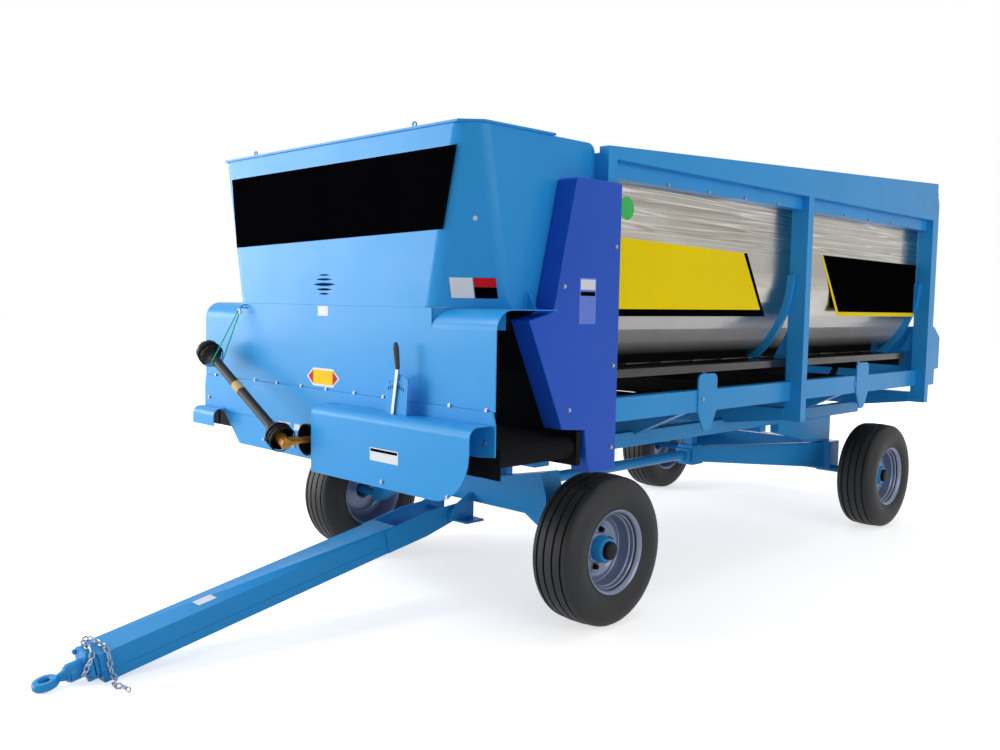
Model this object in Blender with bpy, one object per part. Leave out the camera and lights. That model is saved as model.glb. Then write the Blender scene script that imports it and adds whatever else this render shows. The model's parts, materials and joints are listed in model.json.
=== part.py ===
# Feed distributor wagon on four wheels, metres, +Z up.
# Front of the wagon points along -Y. X = 0 is the middle plane.
# Everything is laid out from the middle of the rear axle on the ground, and the
# wagon empty then moves it so that the whole box is centred on the origin.

import math

import bmesh
import bpy
from mathutils import Matrix, Vector

# Gaps and sheets
GAP = 0.0003
RUNNING_GAP = 0.0006
SHEET = 0.005

# Wheels and the gauge of both axles
TYRE_RADIUS = 0.410
TYRE_WIDTH = 0.290
RIM_BORE = 0.203
WHEEL_SEGMENTS = 20
HALF_TRACK = 1.055
WHEELBASE = 3.510
STUB_RADIUS = 0.028
STUB_END = 0.028

# Rear gear
REAR_AXLE_HALF = 0.720
REAR_AXLE_LIFT = 0.003
REAR_AXLE_DEPTH = 0.216
REAR_AXLE_WALL = 0.010
BOLSTER_RISE = 0.206
BOLSTER_LENGTH = 0.870
HOUND_APEX_Y = -1.050
HOUND_APEX_HEIGHT = 0.121
HOUND_THICKNESS = 0.060
REACH_RADIUS = 0.038
CLAMP_HALF = 0.052

# Chassis
RAIL_HEIGHT = 0.095
RAIL_X = 0.600
RAIL_THICKNESS = 0.070
RAIL_NOSE = 0.120
RAIL_TAIL = 0.061
CROSS_RISE = 0.120
CROSS_WIDTH = 0.080

# Load space. Columns are given by their front edges.
BODY_HALF_WIDTH = 1.217
SIDE_DEPTH = 0.120
COLUMN_WIDTH = 0.071
COLUMN_FRONT_EDGES = (-3.706, -1.591, 0.539)
FLOOR_RISE = 0.450
WALL_RISE = 1.084
TOP_RISE_FRONT = 1.145
TOP_RISE_REAR = 1.385
FLANGE_DROP = 0.083
TOP_RAIL_DEPTH = 0.060
LOWER_RAIL_INSET = 0.080
LOWER_RAIL_DEPTH = 0.070
LOWER_RAIL_DROP = 0.275
LOWER_RAIL_HEIGHT = 0.128
SHEET_BEND_RISE = 0.570
SHEET_BEND_RADIUS = 0.705
SHEET_WALL = 0.004
BEND_STEPS = 7
RIB_DEPTH = 0.045
RIB_THICKNESS = 0.030
FLOOR_THICKNESS = 0.006
FLOOR_LIP = 0.045
FLOOR_FRONT_SETBACK = 0.026
FLOOR_REAR_SETBACK = 0.149
BEARER_DEPTH = 0.100
BEARER_WIDTH = 0.050
TONGUE_DROP = 0.050
TONGUE_HEIGHT = 0.345
TONGUE_HALF_WIDTH = 0.100
TONGUE_TIP_HALF = 0.030
TONGUE_CORNER = 0.040
TONGUE_THICKNESS = 0.008
GUSSET_HEIGHT = 0.235
GUSSET_REACH = 0.120

# Tail housing and rear panels
TAIL_LENGTH = 0.215
TAIL_STEP = 0.085
TAIL_PANEL = 0.070
TAIL_PANEL_INSET = 0.012
TAIL_INSET = 0.005

# Floor conveyor
STRAND_X = 0.450
STRAND_WIDTH = 0.050
STRAND_THICKNESS = 0.018
LOOP_DROP = 0.250
LOOP_OVERHANG = 0.140
SLAT_INSET = 0.357
SLAT_HEIGHT = 0.035
SLAT_WIDTH = 0.030
SLAT_COUNT = 12
SLAT_END_SPACE = 0.200
SLAT_CLEARANCE = 0.010
WALL_FIT = 0.002
CHUTE_SPACE = 0.030

# Front box. Corner places are inward and rearward from the box's side and front.
FRONT_LENGTH = 0.854
BOX_RISE = 1.160
BOX_FOOT_RISE = 0.320
BOX_SIDE_INSET = 0.090
CORNER_TOP_PLACES = ((0.096, 0.0), (0.013, 0.088))
CORNER_FOOT_PLACES = ((0.267, 0.0), (0.007, 0.240))
BOX_CORNER_RADIUS = 0.050
RIM_HEIGHT = 0.012
RIM_WIDTH = 0.030
RIM_LIP = 0.008
RIM_LENGTH = 0.550

# Vent in the front wall: rise above the box's foot, width and height of each slot
VENT_SLOTS = ((0.159, 0.098, 0.010), (0.1355, 0.145, 0.013), (0.109, 0.200, 0.018),
              (0.0825, 0.145, 0.013), (0.059, 0.098, 0.010))
VENT_X = -0.010

# Hood over the discharge mouths, lip and apron
HOOD_OVERHANG = 0.083
HOOD_LENGTH = 0.400
HOOD_BEND = 0.100
CREASE_DROP = 0.135
LIP_STEP = 0.005
LIP_HEIGHT = 0.201
FIN_HEIGHT = 0.090
FIN_REACH = 0.065
APRON_TOP_DROP = 0.095
APRON_HEIGHT = 0.300
APRON_TOP_INSET = 0.090
APRON_FOOT_INSET = 0.400
APRON_FOLD = 0.040
STAPLE_X = -0.814
STAPLE_RADIUS = 0.004
STAPLE_REACH = 0.030
STAPLE_DROP = 0.020

# Drive cover and its small partner
COVER_LEFT_X = 0.080
COVER_END_INSET = 0.015
COVER_DROP = 0.060
COVER_HEIGHT = 0.355
COVER_DEPTH = 0.135
COVER_CORNER = 0.240
END_COVER_WIDTH = 0.260
END_COVER_DROP = 0.195
END_COVER_HEIGHT = 0.105
END_COVER_DEPTH = 0.085

# Cross conveyor under the front box
BELT_OVERHANG = 0.013
BELT_SETBACK = 0.080
BELT_WIDTH = 0.550
BELT_RISE = 0.030
BELT_HEIGHT = 0.120
BELT_WALL = 0.010
BELT_RAIL_LIP = 0.020
BELT_RAIL_WALL = 0.030

# Chain guards: front line as distance behind the front wall and height above the floor
GUARD_COVER = 0.033
GUARD_WING = 0.0763
GUARD_LAP = 0.020
GUARD_TOP_RISE = 0.960
GUARD_FOOT_DROP = 0.495
GUARD_LINE = ((0.595, 0.960), (0.578, 0.948), (0.430, 0.310), (0.260, 0.270), (0.510, -0.260),
              (0.680, -0.275), (0.700, -0.430), (0.730, -0.495))

# Beaters in the front box
BEATER_RISES = (0.480, 0.880)
BEATER_SETBACK = 0.600
BEATER_SHAFT = 0.025
BEATER_TUBE = 0.057
BEATER_REACH = 0.170
BEATER_BLADES = 9
BLADE_HALF_WIDTH = 0.030
BLADE_HALF_THICKNESS = 0.006
BLADE_FIRST_TURN = math.radians(20.0)
BLADE_TURN = math.radians(40.0)
BLADE_PITCH = 0.230
BEARING_INSET = 0.035
CHEEK_PLATE = 0.0235
CHEEK_LEAD = 0.060
CHEEK_RISE = 1.040

# Front gear
AXLE_HALF = 0.740
AXLE_DEPTH = 0.150
AXLE_BOTTOM = 0.530
AXLE_WAIST = 0.680
AXLE_SHOULDER_X = 0.695
AXLE_SHOULDER_RISE = 0.020
AXLE_END_Z = 0.640
PEDESTAL_HALF = 0.120
TURNTABLE_RADIUS = 0.280
TURNTABLE_DROP = 0.055
PLATE_THICKNESS = 0.020
BOLSTER_HALF_DEPTH = 0.060
ARM_REACH = 0.120
ARM_HALF = 0.050
LUG_RADIUS = 0.045
LUG_THICKNESS = 0.030
LUG_FLANGE = 0.013
LUG_WING = 0.090

# Drawbar, with distances from its hinge pin
HINGE_LEAD = 0.210
HINGE_PIN_RADIUS = 0.018
DRAWBAR_SLOPE = math.radians(10.9)
BEAM_WIDTH = 0.200
BEAM_HEIGHT = 0.135
BEAM_START = 0.420
BEAM_END = 2.130
LEDGE_HEIGHT = 0.045
LEDGE_STEP = 0.003
CHEEK_THICKNESS = 0.012
CHEEK_TAIL = 0.045
CHEEK_OVERLAP = 0.080
FLANGE_HALF = 0.085
FLANGE_TOP = 0.080
FLANGE_FOOT = 0.056
FLANGE_NOTCH = 0.032
FLANGE_PLATE = 0.018
# Flange bolts as (x, z) from the drawbar's axis
FLANGE_BOLTS = ((0.062, 0.058), (-0.062, 0.058), (0.064, -0.036), (-0.064, -0.036))
BOLT_RADIUS = 0.012
BOLT_STAND = 0.014
BARREL_RADIUS = 0.044
BARREL_LENGTH = 0.070
COLLAR_RADIUS = 0.037
COLLAR_LENGTH = 0.012
NECK_RADIUS = 0.028
EYE_DISTANCE = 2.340
# Eye section as radius and height
EYE_PROFILE = ((0.024, -0.010), (0.030, -0.018), (0.050, -0.018), (0.057, -0.010),
               (0.057, 0.010), (0.050, 0.018), (0.030, 0.018), (0.024, 0.010))

# Safety chain round the hitch
LINK_LENGTH = 0.048
LINK_WIDTH = 0.028
LINK_WIRE = 0.004
LINK_OVERLAP = 0.0018
CHAIN_SPACE = 0.0148
# Loose end along the ground: sideways from the drawbar, distance ahead of the hinge, rise
CHAIN_TAIL = ((0.004, 2.052, 0.020), (0.030, 2.045, 0.0), (0.075, 2.080, 0.0), (0.115, 2.045, 0.0),
              (0.165, 2.055, 0.0), (0.180, 2.020, 0.0))

# Gate lever and its quadrant, from the front wall's face
QUADRANT_X = 0.700
QUADRANT_SETOFF = 0.070
QUADRANT_RADIUS = 0.195
QUADRANT_HALF_DEGREES = 27.0
LEVER_LENGTH = 0.215
LEVER_LEAN = 0.034
LEVER_HALF = 0.010
LEVER_THICKNESS = 0.010
GRIP_LENGTH = 0.130
GRIP_LEAN = -0.018
GRIP_FOOT_RADIUS = 0.011
GRIP_RADIUS = 0.015

# Input shield and parked drive shaft. The far joint's centre is given as x, distance
# ahead of the front wall and height above the floor.
INPUT_X = -0.030
INPUT_DROP = 0.400
SHIELD_RADIUS = 0.088
SHIELD_DEPTH = 0.090
SHAFT_LEAD = 0.230
SHAFT_FAR_PLACE = (-1.055, 0.135, 0.045)
FAR_YOKE_RUN = Vector((-0.092, 0.0, -0.048))
SHAFT_RADIUS = 0.0175
GUARD_TUBE_RADIUS = 0.027
BELL_RADIUS = 0.070
BELL_LENGTH = 0.140
BELL_START = 0.036
# Outline of a bell as share of its length and of its radius
BELL_STEPS = ((0.0, 1.0), (0.14, 1.0), (0.18, 0.94), (0.30, 0.97), (0.34, 0.90), (0.50, 0.88),
              (0.75, 0.55))
YOKE_RADIUS = 0.030
SHAFT_SIDES = 12

# Rope that holds the parked shaft
ROPE_RADIUS = 0.0035
ROPE_STATION = 0.830
ROPE_LEAVE = math.radians(-28.0)

# Worked-out places
FRONT_AXLE_Y = -WHEELBASE
HINGE_Y = FRONT_AXLE_Y - HINGE_LEAD
REACH_FRONT_Y = FRONT_AXLE_Y + TURNTABLE_RADIUS + 0.030
REAR_AXLE_BOTTOM = TYRE_RADIUS + REAR_AXLE_LIFT
REAR_AXLE_TOP = REAR_AXLE_BOTTOM + REAR_AXLE_DEPTH
RAIL_BOTTOM = REAR_AXLE_TOP + BOLSTER_RISE
RAIL_TOP = RAIL_BOTTOM + RAIL_HEIGHT
CROSS_TOP = RAIL_TOP + CROSS_RISE
COLUMN_BOTTOM = RAIL_TOP + 0.038
FLOOR_TOP = RAIL_TOP + FLOOR_RISE
AXLE_TOP = RAIL_BOTTOM - TURNTABLE_DROP - PLATE_THICKNESS
SHEET_X = BODY_HALF_WIDTH - SIDE_DEPTH
SHEET_FOOT_Z = FLOOR_TOP + SHEET
WALL_TOP = FLOOR_TOP + WALL_RISE
LOWER_RAIL_FACE = BODY_HALF_WIDTH - LOWER_RAIL_INSET
LOWER_RAIL_BOTTOM = FLOOR_TOP - LOWER_RAIL_DROP
COLUMN_REAR = COLUMN_FRONT_EDGES[-1] + COLUMN_WIDTH
FLOOR_FRONT_Y = COLUMN_FRONT_EDGES[0] + FLOOR_FRONT_SETBACK
FLOOR_REAR_Y = COLUMN_FRONT_EDGES[-1] - FLOOR_REAR_SETBACK
BOX_REAR_Y = COLUMN_FRONT_EDGES[0] - GAP
FRONT_Y = COLUMN_FRONT_EDGES[0] - FRONT_LENGTH
BOX_TOP = FLOOR_TOP + BOX_RISE
BOX_FOOT = FLOOR_TOP + BOX_FOOT_RISE
BOX_SIDE_X = BODY_HALF_WIDTH - BOX_SIDE_INSET
BEARING_X = BOX_SIDE_X - BEARING_INSET
HOOD_HALF_WIDTH = BODY_HALF_WIDTH + HOOD_OVERHANG
HOOD_REAR_Y = FRONT_Y + HOOD_LENGTH
CREASE_Z = FLOOR_TOP - CREASE_DROP
COVER_TOP = CREASE_Z - COVER_DROP
WALL_FACE = FRONT_Y - SHEET - GAP
BELT_BOTTOM = RAIL_TOP + BELT_RISE
BELT_TOP = BELT_BOTTOM + BELT_HEIGHT
BELT_HALF_LENGTH = BODY_HALF_WIDTH + BELT_OVERHANG
BELT_FRONT_Y = FRONT_Y + BELT_SETBACK
BELT_REAR_Y = BELT_FRONT_Y + BELT_WIDTH
BELT_RAIL_TOP = BELT_TOP + BELT_RAIL_LIP
GUARD_X = BODY_HALF_WIDTH + GUARD_COVER
RAIL_FRONT_Y = FRONT_Y + RAIL_NOSE
RAIL_REAR_Y = COLUMN_FRONT_EDGES[-1] + RAIL_TAIL
BEATER_Y = FRONT_Y + BEATER_SETBACK
HINGE_Z = max((EYE_DISTANCE + reach) * math.sin(DRAWBAR_SLOPE) - height * math.cos(DRAWBAR_SLOPE)
              for reach, height in EYE_PROFILE)
FRONT_TIP_Y = HINGE_Y - max((EYE_DISTANCE + reach) * math.cos(DRAWBAR_SLOPE)
                            + height * math.sin(DRAWBAR_SLOPE) for reach, height in EYE_PROFILE)
TAIL_REAR = COLUMN_REAR + TAIL_LENGTH
WAGON_SHIFT = -(FRONT_TIP_Y + TAIL_REAR) / 2
SHAFT_NEAR = Vector((INPUT_X, FRONT_Y - SHAFT_LEAD, FLOOR_TOP - INPUT_DROP))
SHAFT_FAR = Vector((SHAFT_FAR_PLACE[0], FRONT_Y - SHAFT_FAR_PLACE[1],
                    FLOOR_TOP + SHAFT_FAR_PLACE[2]))

# Colours as linear red, green, blue, then roughness and metallic
PAINTS = {
    "sky_blue": ((0.045, 0.300, 0.760), 0.35, 0.0),
    "royal_blue": ((0.020, 0.065, 0.330), 0.35, 0.0),
    "stainless": ((0.560, 0.560, 0.560), 0.15, 1.0),
    "black_rubber": ((0.012, 0.012, 0.012), 0.80, 0.0),
    "black_plastic": ((0.010, 0.010, 0.012), 0.40, 0.0),
    "black_steel": ((0.012, 0.012, 0.014), 0.50, 0.0),
    "rim_silver": ((0.380, 0.400, 0.470), 0.35, 0.4),
    "zinc": ((0.520, 0.530, 0.550), 0.30, 1.0),
    "gold_zinc": ((0.500, 0.250, 0.060), 0.35, 0.9),
    "green_rope": ((0.000, 0.180, 0.120), 0.80, 0.0),
    "grey_grip": ((0.090, 0.095, 0.105), 0.60, 0.0),
}


def clear_scene():
    """Empty the scene, so that a second run starts clean."""
    for item in list(bpy.data.objects):
        bpy.data.objects.remove(item, do_unlink=True)


def make_materials():
    """One plain material for each paint or bare surface."""
    materials = {}
    for name, (colour, roughness, metallic) in PAINTS.items():
        material = bpy.data.materials.new(name)
        material.use_nodes = True
        shader = material.node_tree.nodes["Principled BSDF"]
        shader.inputs["Base Color"].default_value = (*colour, 1.0)
        shader.inputs["Roughness"].default_value = roughness
        shader.inputs["Metallic"].default_value = metallic
        materials[name] = material
    return materials


def finish_mesh(bm, name="form"):
    """Turn a bmesh into a closed mesh whose faces point out."""
    bmesh.ops.recalc_face_normals(bm, faces=bm.faces[:])
    mesh = bpy.data.meshes.new(name)
    bm.to_mesh(mesh)
    bm.free()
    return mesh


def loft(sections):
    """Closed form through point loops that have the same number of points."""
    bm = bmesh.new()
    rings = [[bm.verts.new(point) for point in section] for section in sections]
    bm.faces.new(rings[0][::-1])
    bm.faces.new(rings[-1])
    count = len(rings[0])
    for lower, upper in zip(rings, rings[1:]):
        for i in range(count):
            j = (i + 1) % count
            bm.faces.new((lower[i], lower[j], upper[j], upper[i]))
    twisted = [face for face in bm.faces if len(face.verts) == 4 and not is_flat(face)]
    bmesh.ops.triangulate(bm, faces=twisted, quad_method="SHORT_EDGE")
    return finish_mesh(bm)


def is_flat(face):
    """True where a face's fourth corner lies in the plane of the other three."""
    first, second, third, fourth = (vert.co for vert in face.verts)
    normal = (second - first).cross(third - first).normalized()
    return abs(normal.dot(fourth - first)) < 1e-6


def lifted(outline, axis, value):
    """Outline points set at one value of an axis, in X, Y, Z order."""
    if axis == "X":
        return [(value, a, b) for a, b in outline]
    if axis == "Y":
        return [(a, value, b) for a, b in outline]
    return [(a, b, value) for a, b in outline]


def prism(outline, axis, low, high):
    """Outline pushed along an axis from low to high."""
    return loft([lifted(outline, axis, low), lifted(outline, axis, high)])


def block(low, high):
    """Box between two corners."""
    outline = [(low[0], low[1]), (high[0], low[1]), (high[0], high[1]), (low[0], high[1])]
    return prism(outline, "Z", low[2], high[2])


def ring_solid(outer, inner, axis, low, high):
    """Band with one hole right through it."""
    bm = bmesh.new()
    rings = []
    for outline in (outer, inner):
        for value in (low, high):
            rings.append([bm.verts.new(point) for point in lifted(outline, axis, value)])
    count = len(outer)
    for first, second in ((0, 1), (1, 3), (3, 2), (2, 0)):
        for i in range(count):
            j = (i + 1) % count
            bm.faces.new((rings[first][i], rings[first][j], rings[second][j], rings[second][i]))
    return finish_mesh(bm)


def turned(profile, axis, segments):
    """Closed profile of (along, radius) points turned about an axis."""
    bm = bmesh.new()
    rings = []
    for along, radius in profile:
        if radius == 0.0:
            rings.append([bm.verts.new(turned_point(axis, along, 0.0, 0.0))] * segments)
            continue
        ring = []
        for step in range(segments):
            angle = 2.0 * math.pi * step / segments
            ring.append(bm.verts.new(turned_point(axis, along, radius, angle)))
        rings.append(ring)
    for index, ring in enumerate(rings):
        following = rings[(index + 1) % len(rings)]
        if ring[0] is ring[1] and following[0] is following[1]:
            continue
        for i in range(segments):
            j = (i + 1) % segments
            corners = []
            for vertex in (ring[i], ring[j], following[j], following[i]):
                if vertex not in corners:
                    corners.append(vertex)
            bm.faces.new(corners)
    return finish_mesh(bm)


def turned_point(axis, along, radius, angle):
    """Point at an angle about X, Y or Z."""
    a = radius * math.cos(angle)
    b = radius * math.sin(angle)
    if axis == "X":
        return (along, a, b)
    if axis == "Y":
        return (a, along, b)
    return (a, b, along)


def aimed(mesh, start, direction):
    """Mesh made along Z, moved to a start point and turned to a direction."""
    mesh.transform(Matrix.Translation(start) @ direction.to_track_quat("Z", "Y").to_matrix().to_4x4())
    return mesh


def rod(start, end, radius, sides=10):
    """Round bar between two points."""
    run = Vector(end) - Vector(start)
    mesh = turned([(0.0, 0.0), (0.0, radius), (run.length, radius), (run.length, 0.0)], "Z", sides)
    return aimed(mesh, Vector(start), run)


def tube(points, radius, sides):
    """Round bar along a line of points."""
    sections = []
    side = Vector((1.0, 0.0, 0.0))
    count = len(points)
    for index, point in enumerate(points):
        along = (points[min(index + 1, count - 1)] - points[max(index - 1, 0)]).normalized()
        side = (side - along * side.dot(along)).normalized()
        across = along.cross(side)
        angles = [2.0 * math.pi * step / sides for step in range(sides)]
        sections.append([point + (side * math.cos(a) + across * math.sin(a)) * radius for a in angles])
    return loft(sections)


def moved(mesh, offset):
    """The same mesh, shifted."""
    mesh.transform(Matrix.Translation(offset))
    return mesh


def mirrored(mesh):
    """Copy on the other side of the middle plane."""
    copy = mesh.copy()
    copy.transform(Matrix.Scale(-1.0, 4, (1.0, 0.0, 0.0)))
    copy.flip_normals()
    return copy


def combine(base, others, operation):
    """Base joined with the others, or cut by them, as one mesh."""
    scene = bpy.context.scene.collection
    helpers = bpy.data.collections.new("helpers")
    scene.children.link(helpers)
    base_object = bpy.data.objects.new("base", base)
    scene.objects.link(base_object)
    for mesh in others:
        helpers.objects.link(bpy.data.objects.new("helper", mesh))
    modifier = base_object.modifiers.new("combine", "BOOLEAN")
    modifier.operation = operation
    modifier.operand_type = "COLLECTION"
    modifier.collection = helpers
    graph = bpy.context.evaluated_depsgraph_get()
    result = bpy.data.meshes.new_from_object(base_object.evaluated_get(graph))
    for item in [base_object, *helpers.objects]:
        bpy.data.objects.remove(item, do_unlink=True)
    bpy.data.collections.remove(helpers)
    bm = bmesh.new()
    bm.from_mesh(result)
    bmesh.ops.remove_doubles(bm, verts=bm.verts[:], dist=1e-5)
    bmesh.ops.dissolve_degenerate(bm, edges=bm.edges[:], dist=1e-6)
    bmesh.ops.dissolve_limit(bm, verts=bm.verts[:], edges=bm.edges[:], angle_limit=0.0005)
    bm.to_mesh(result)
    bm.free()
    return result


def fuse(meshes):
    """Overlapping forms welded into one."""
    return combine(meshes[0], meshes[1:], "UNION")


def cut(mesh, cutters):
    """Form with the cutters' space taken away."""
    return combine(mesh, cutters, "DIFFERENCE")


def arc(centre, radius, start_degrees, end_degrees, steps):
    """Points on a circle, both ends included."""
    points = []
    for step in range(steps + 1):
        angle = math.radians(start_degrees + (end_degrees - start_degrees) * step / steps)
        points.append((centre[0] + radius * math.cos(angle), centre[1] + radius * math.sin(angle)))
    return points


def facing(outline):
    """Outline with its mirror image in the middle plane, as one closed loop."""
    return outline + [(-x, y) for x, y in outline[::-1]]


class Assembly:
    """Puts finished meshes into the scene under the wagon's empties."""

    def __init__(self, materials):
        self.materials = materials
        self.frames = {}

    def add_frame(self, name, parent, place, turn=0.0):
        """Empty at a joint, placed in its parent's frame and turned about X."""
        empty = bpy.data.objects.new(name, None)
        bpy.context.scene.collection.objects.link(empty)
        empty.location = place
        empty.rotation_euler = (turn, 0.0, 0.0)
        if parent is not None:
            empty.parent = self.frames[parent]
        self.frames[name] = empty

    def add(self, name, mesh, paint, frame, smooth=False):
        """Mesh given in the frame's own coordinates."""
        mesh.name = name
        mesh.materials.clear()
        mesh.materials.append(self.materials[paint])
        if smooth:
            mesh.shade_smooth()
            mesh.set_sharp_from_angle(angle=math.radians(35.0))
        self.link(bpy.data.objects.new(name, mesh), frame)

    def add_pair(self, name, mesh, paint, frame, smooth=False):
        """Left piece and its mirror image on the right."""
        other = mirrored(mesh)
        self.add(name + "_left", mesh, paint, frame, smooth)
        self.add(name + "_right", other, paint, frame, smooth)

    def link(self, item, frame):
        """Object into the scene under one of the empties."""
        bpy.context.scene.collection.objects.link(item)
        item.parent = self.frames[frame]


def sheet_curve(offset=0.0, foot=SHEET_FOOT_Z):
    """Side sheet's outer line from the top down to a foot, as (x, z), moved outward by offset."""
    middle = FLOOR_TOP + SHEET_BEND_RISE
    radius = SHEET_BEND_RADIUS + offset
    drop = math.degrees(math.asin((middle - foot) / radius))
    return arc((SHEET_X - SHEET_BEND_RADIUS, middle), radius, 0.0, -drop, BEND_STEPS)


def side_sheet(start_y, end_y):
    """Curved stainless wall of one bay."""
    outer = [(SHEET_X, WALL_TOP), *sheet_curve()]
    inner = [(SHEET_X - SHEET_WALL, WALL_TOP), *sheet_curve(-SHEET_WALL)]
    return prism(outer + inner[::-1], "Y", start_y, end_y)


def top_edge(y):
    """Height of the side frame's top edge at y."""
    share = (y - COLUMN_FRONT_EDGES[0]) / (COLUMN_REAR - COLUMN_FRONT_EDGES[0])
    return FLOOR_TOP + TOP_RISE_FRONT + (TOP_RISE_REAR - TOP_RISE_FRONT) * share


def side_frame():
    """Columns, top rail, lower rail, curved ribs, gussets and tongues of the left side."""
    front = COLUMN_FRONT_EDGES[0]
    column_inner = SHEET_X + GAP
    rail_inner = BODY_HALF_WIDTH - TOP_RAIL_DEPTH
    rail_outline = [(front, WALL_TOP), (COLUMN_REAR, WALL_TOP),
                    (COLUMN_REAR, top_edge(COLUMN_REAR)), (front, top_edge(front))]
    pieces = [prism(rail_outline, "X", rail_inner, BODY_HALF_WIDTH)]
    pieces.append(block((column_inner, front, WALL_TOP - FLANGE_DROP),
                        (rail_inner + SHEET * 2, COLUMN_REAR, WALL_TOP + SHEET * 6)))
    for edge in COLUMN_FRONT_EDGES:
        pieces.append(block((column_inner, edge, COLUMN_BOTTOM),
                            (BODY_HALF_WIDTH, edge + COLUMN_WIDTH, WALL_TOP + SHEET)))
        pieces.append(gusset(edge))
    pieces.append(block((LOWER_RAIL_FACE - LOWER_RAIL_DEPTH, front + SHEET, LOWER_RAIL_BOTTOM),
                        (LOWER_RAIL_FACE, COLUMN_REAR - SHEET, LOWER_RAIL_BOTTOM + LOWER_RAIL_HEIGHT)))
    rib = sheet_curve(GAP) + sheet_curve(RIB_DEPTH)[::-1]
    for edge in COLUMN_FRONT_EDGES:
        low = edge - RIB_THICKNESS if edge > front else edge + COLUMN_WIDTH - SHEET
        pieces.append(prism(rib, "Y", low, low + RIB_THICKNESS + SHEET))
    pieces += [tongue(middle) for middle in mid_bay_places()]
    pieces.append(rear_panel())
    return fuse(pieces)


def gusset(edge):
    """Triangular web between a column and the foot of its rib."""
    outer = SHEET_X + SHEET
    foot = SHEET_FOOT_Z + GAP
    outline = [(outer, foot + GUSSET_HEIGHT), (outer, foot), (outer - GUSSET_REACH, foot)]
    middle = edge + COLUMN_WIDTH / 2
    return prism(outline, "Y", middle - SHEET / 2, middle + SHEET / 2)


def rear_panel():
    """Plate behind the rear column that closes the side, with its top corner cut back."""
    foot = tail_top()
    rear = COLUMN_REAR + TAIL_PANEL
    shoulder = WALL_TOP + TAIL_PANEL * 2
    outline = [(COLUMN_REAR - SHEET, foot), (rear, foot), (rear, shoulder),
               (COLUMN_REAR - SHEET, top_edge(COLUMN_REAR))]
    outer = BODY_HALF_WIDTH - TAIL_PANEL_INSET
    return prism(outline, "X", outer - TOP_RAIL_DEPTH, outer)


def tongue(middle_y):
    """Tongue plate bolted over the lower rail at mid-bay, with rounded top corners."""
    half = TONGUE_HALF_WIDTH
    top = FLOOR_TOP - TONGUE_DROP
    foot = top - TONGUE_HEIGHT
    shoulder = middle_y + half - TONGUE_CORNER
    outline = arc((shoulder, top - TONGUE_CORNER), TONGUE_CORNER, 0.0, 90.0, 4)
    outline += arc((middle_y * 2 - shoulder, top - TONGUE_CORNER), TONGUE_CORNER, 90.0, 180.0, 4)
    outline += [(middle_y - half, LOWER_RAIL_BOTTOM), (middle_y - half / 2, foot + TONGUE_TIP_HALF),
                (middle_y - TONGUE_TIP_HALF, foot), (middle_y + TONGUE_TIP_HALF, foot),
                (middle_y + half / 2, foot + TONGUE_TIP_HALF), (middle_y + half, LOWER_RAIL_BOTTOM)]
    return prism(outline, "X", LOWER_RAIL_FACE - SHEET / 2, LOWER_RAIL_FACE + TONGUE_THICKNESS)


def build_load_space(wagon):
    """Side frames, sheets, floor, conveyor and rear wall."""
    wagon.add_pair("side_frame", side_frame(), "sky_blue", "wagon")
    front, middle, rear = COLUMN_FRONT_EDGES
    split = middle + COLUMN_WIDTH / 2
    wagon.add_pair("side_sheet_front", side_sheet(front, split - GAP), "stainless", "wagon", True)
    wagon.add_pair("side_sheet_rear", side_sheet(split, rear), "stainless", "wagon", True)
    wagon.add("floor_deck", floor_deck(), "stainless", "wagon")
    wagon.add("floor_conveyor", floor_conveyor(), "black_steel", "wagon")
    wagon.add("rear_wall", rear_wall(), "stainless", "wagon")
    wagon.add("tail_housing", tail_housing(), "sky_blue", "wagon")


def floor_deck():
    """Flat floor with folded lips and bearers between the columns."""
    half = SHEET_X
    under = FLOOR_TOP - FLOOR_THICKNESS
    lip = FLOOR_TOP - FLOOR_LIP
    outline = [(-half, lip), (-half, FLOOR_TOP), (half, FLOOR_TOP), (half, lip),
               (half - SHEET, lip), (half - SHEET, under), (-half + SHEET, under), (-half + SHEET, lip)]
    pieces = [prism(outline, "Y", FLOOR_FRONT_Y, FLOOR_REAR_Y)]
    reach = half - SHEET / 2
    for edge in (FLOOR_FRONT_Y + BEARER_WIDTH, *mid_bay_places(), COLUMN_FRONT_EDGES[1],
                 FLOOR_REAR_Y - BEARER_WIDTH * 2):
        pieces.append(block((-reach, edge, FLOOR_TOP - BEARER_DEPTH),
                            (reach, edge + BEARER_WIDTH, under + SHEET / 2)))
    return fuse(pieces)


def mid_bay_places():
    """Middle of each bay along Y."""
    front, middle, rear = COLUMN_FRONT_EDGES
    return ((front + COLUMN_WIDTH + middle) / 2, (middle + COLUMN_WIDTH + rear) / 2)


def stadium(low_y, high_y, low_z, high_z, steps):
    """Flat loop with round ends, as (y, z)."""
    radius = (high_z - low_z) / 2
    middle = (high_z + low_z) / 2
    return (arc((high_y - radius, middle), radius, -90.0, 90.0, steps)
            + arc((low_y + radius, middle), radius, 90.0, 270.0, steps))


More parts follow.
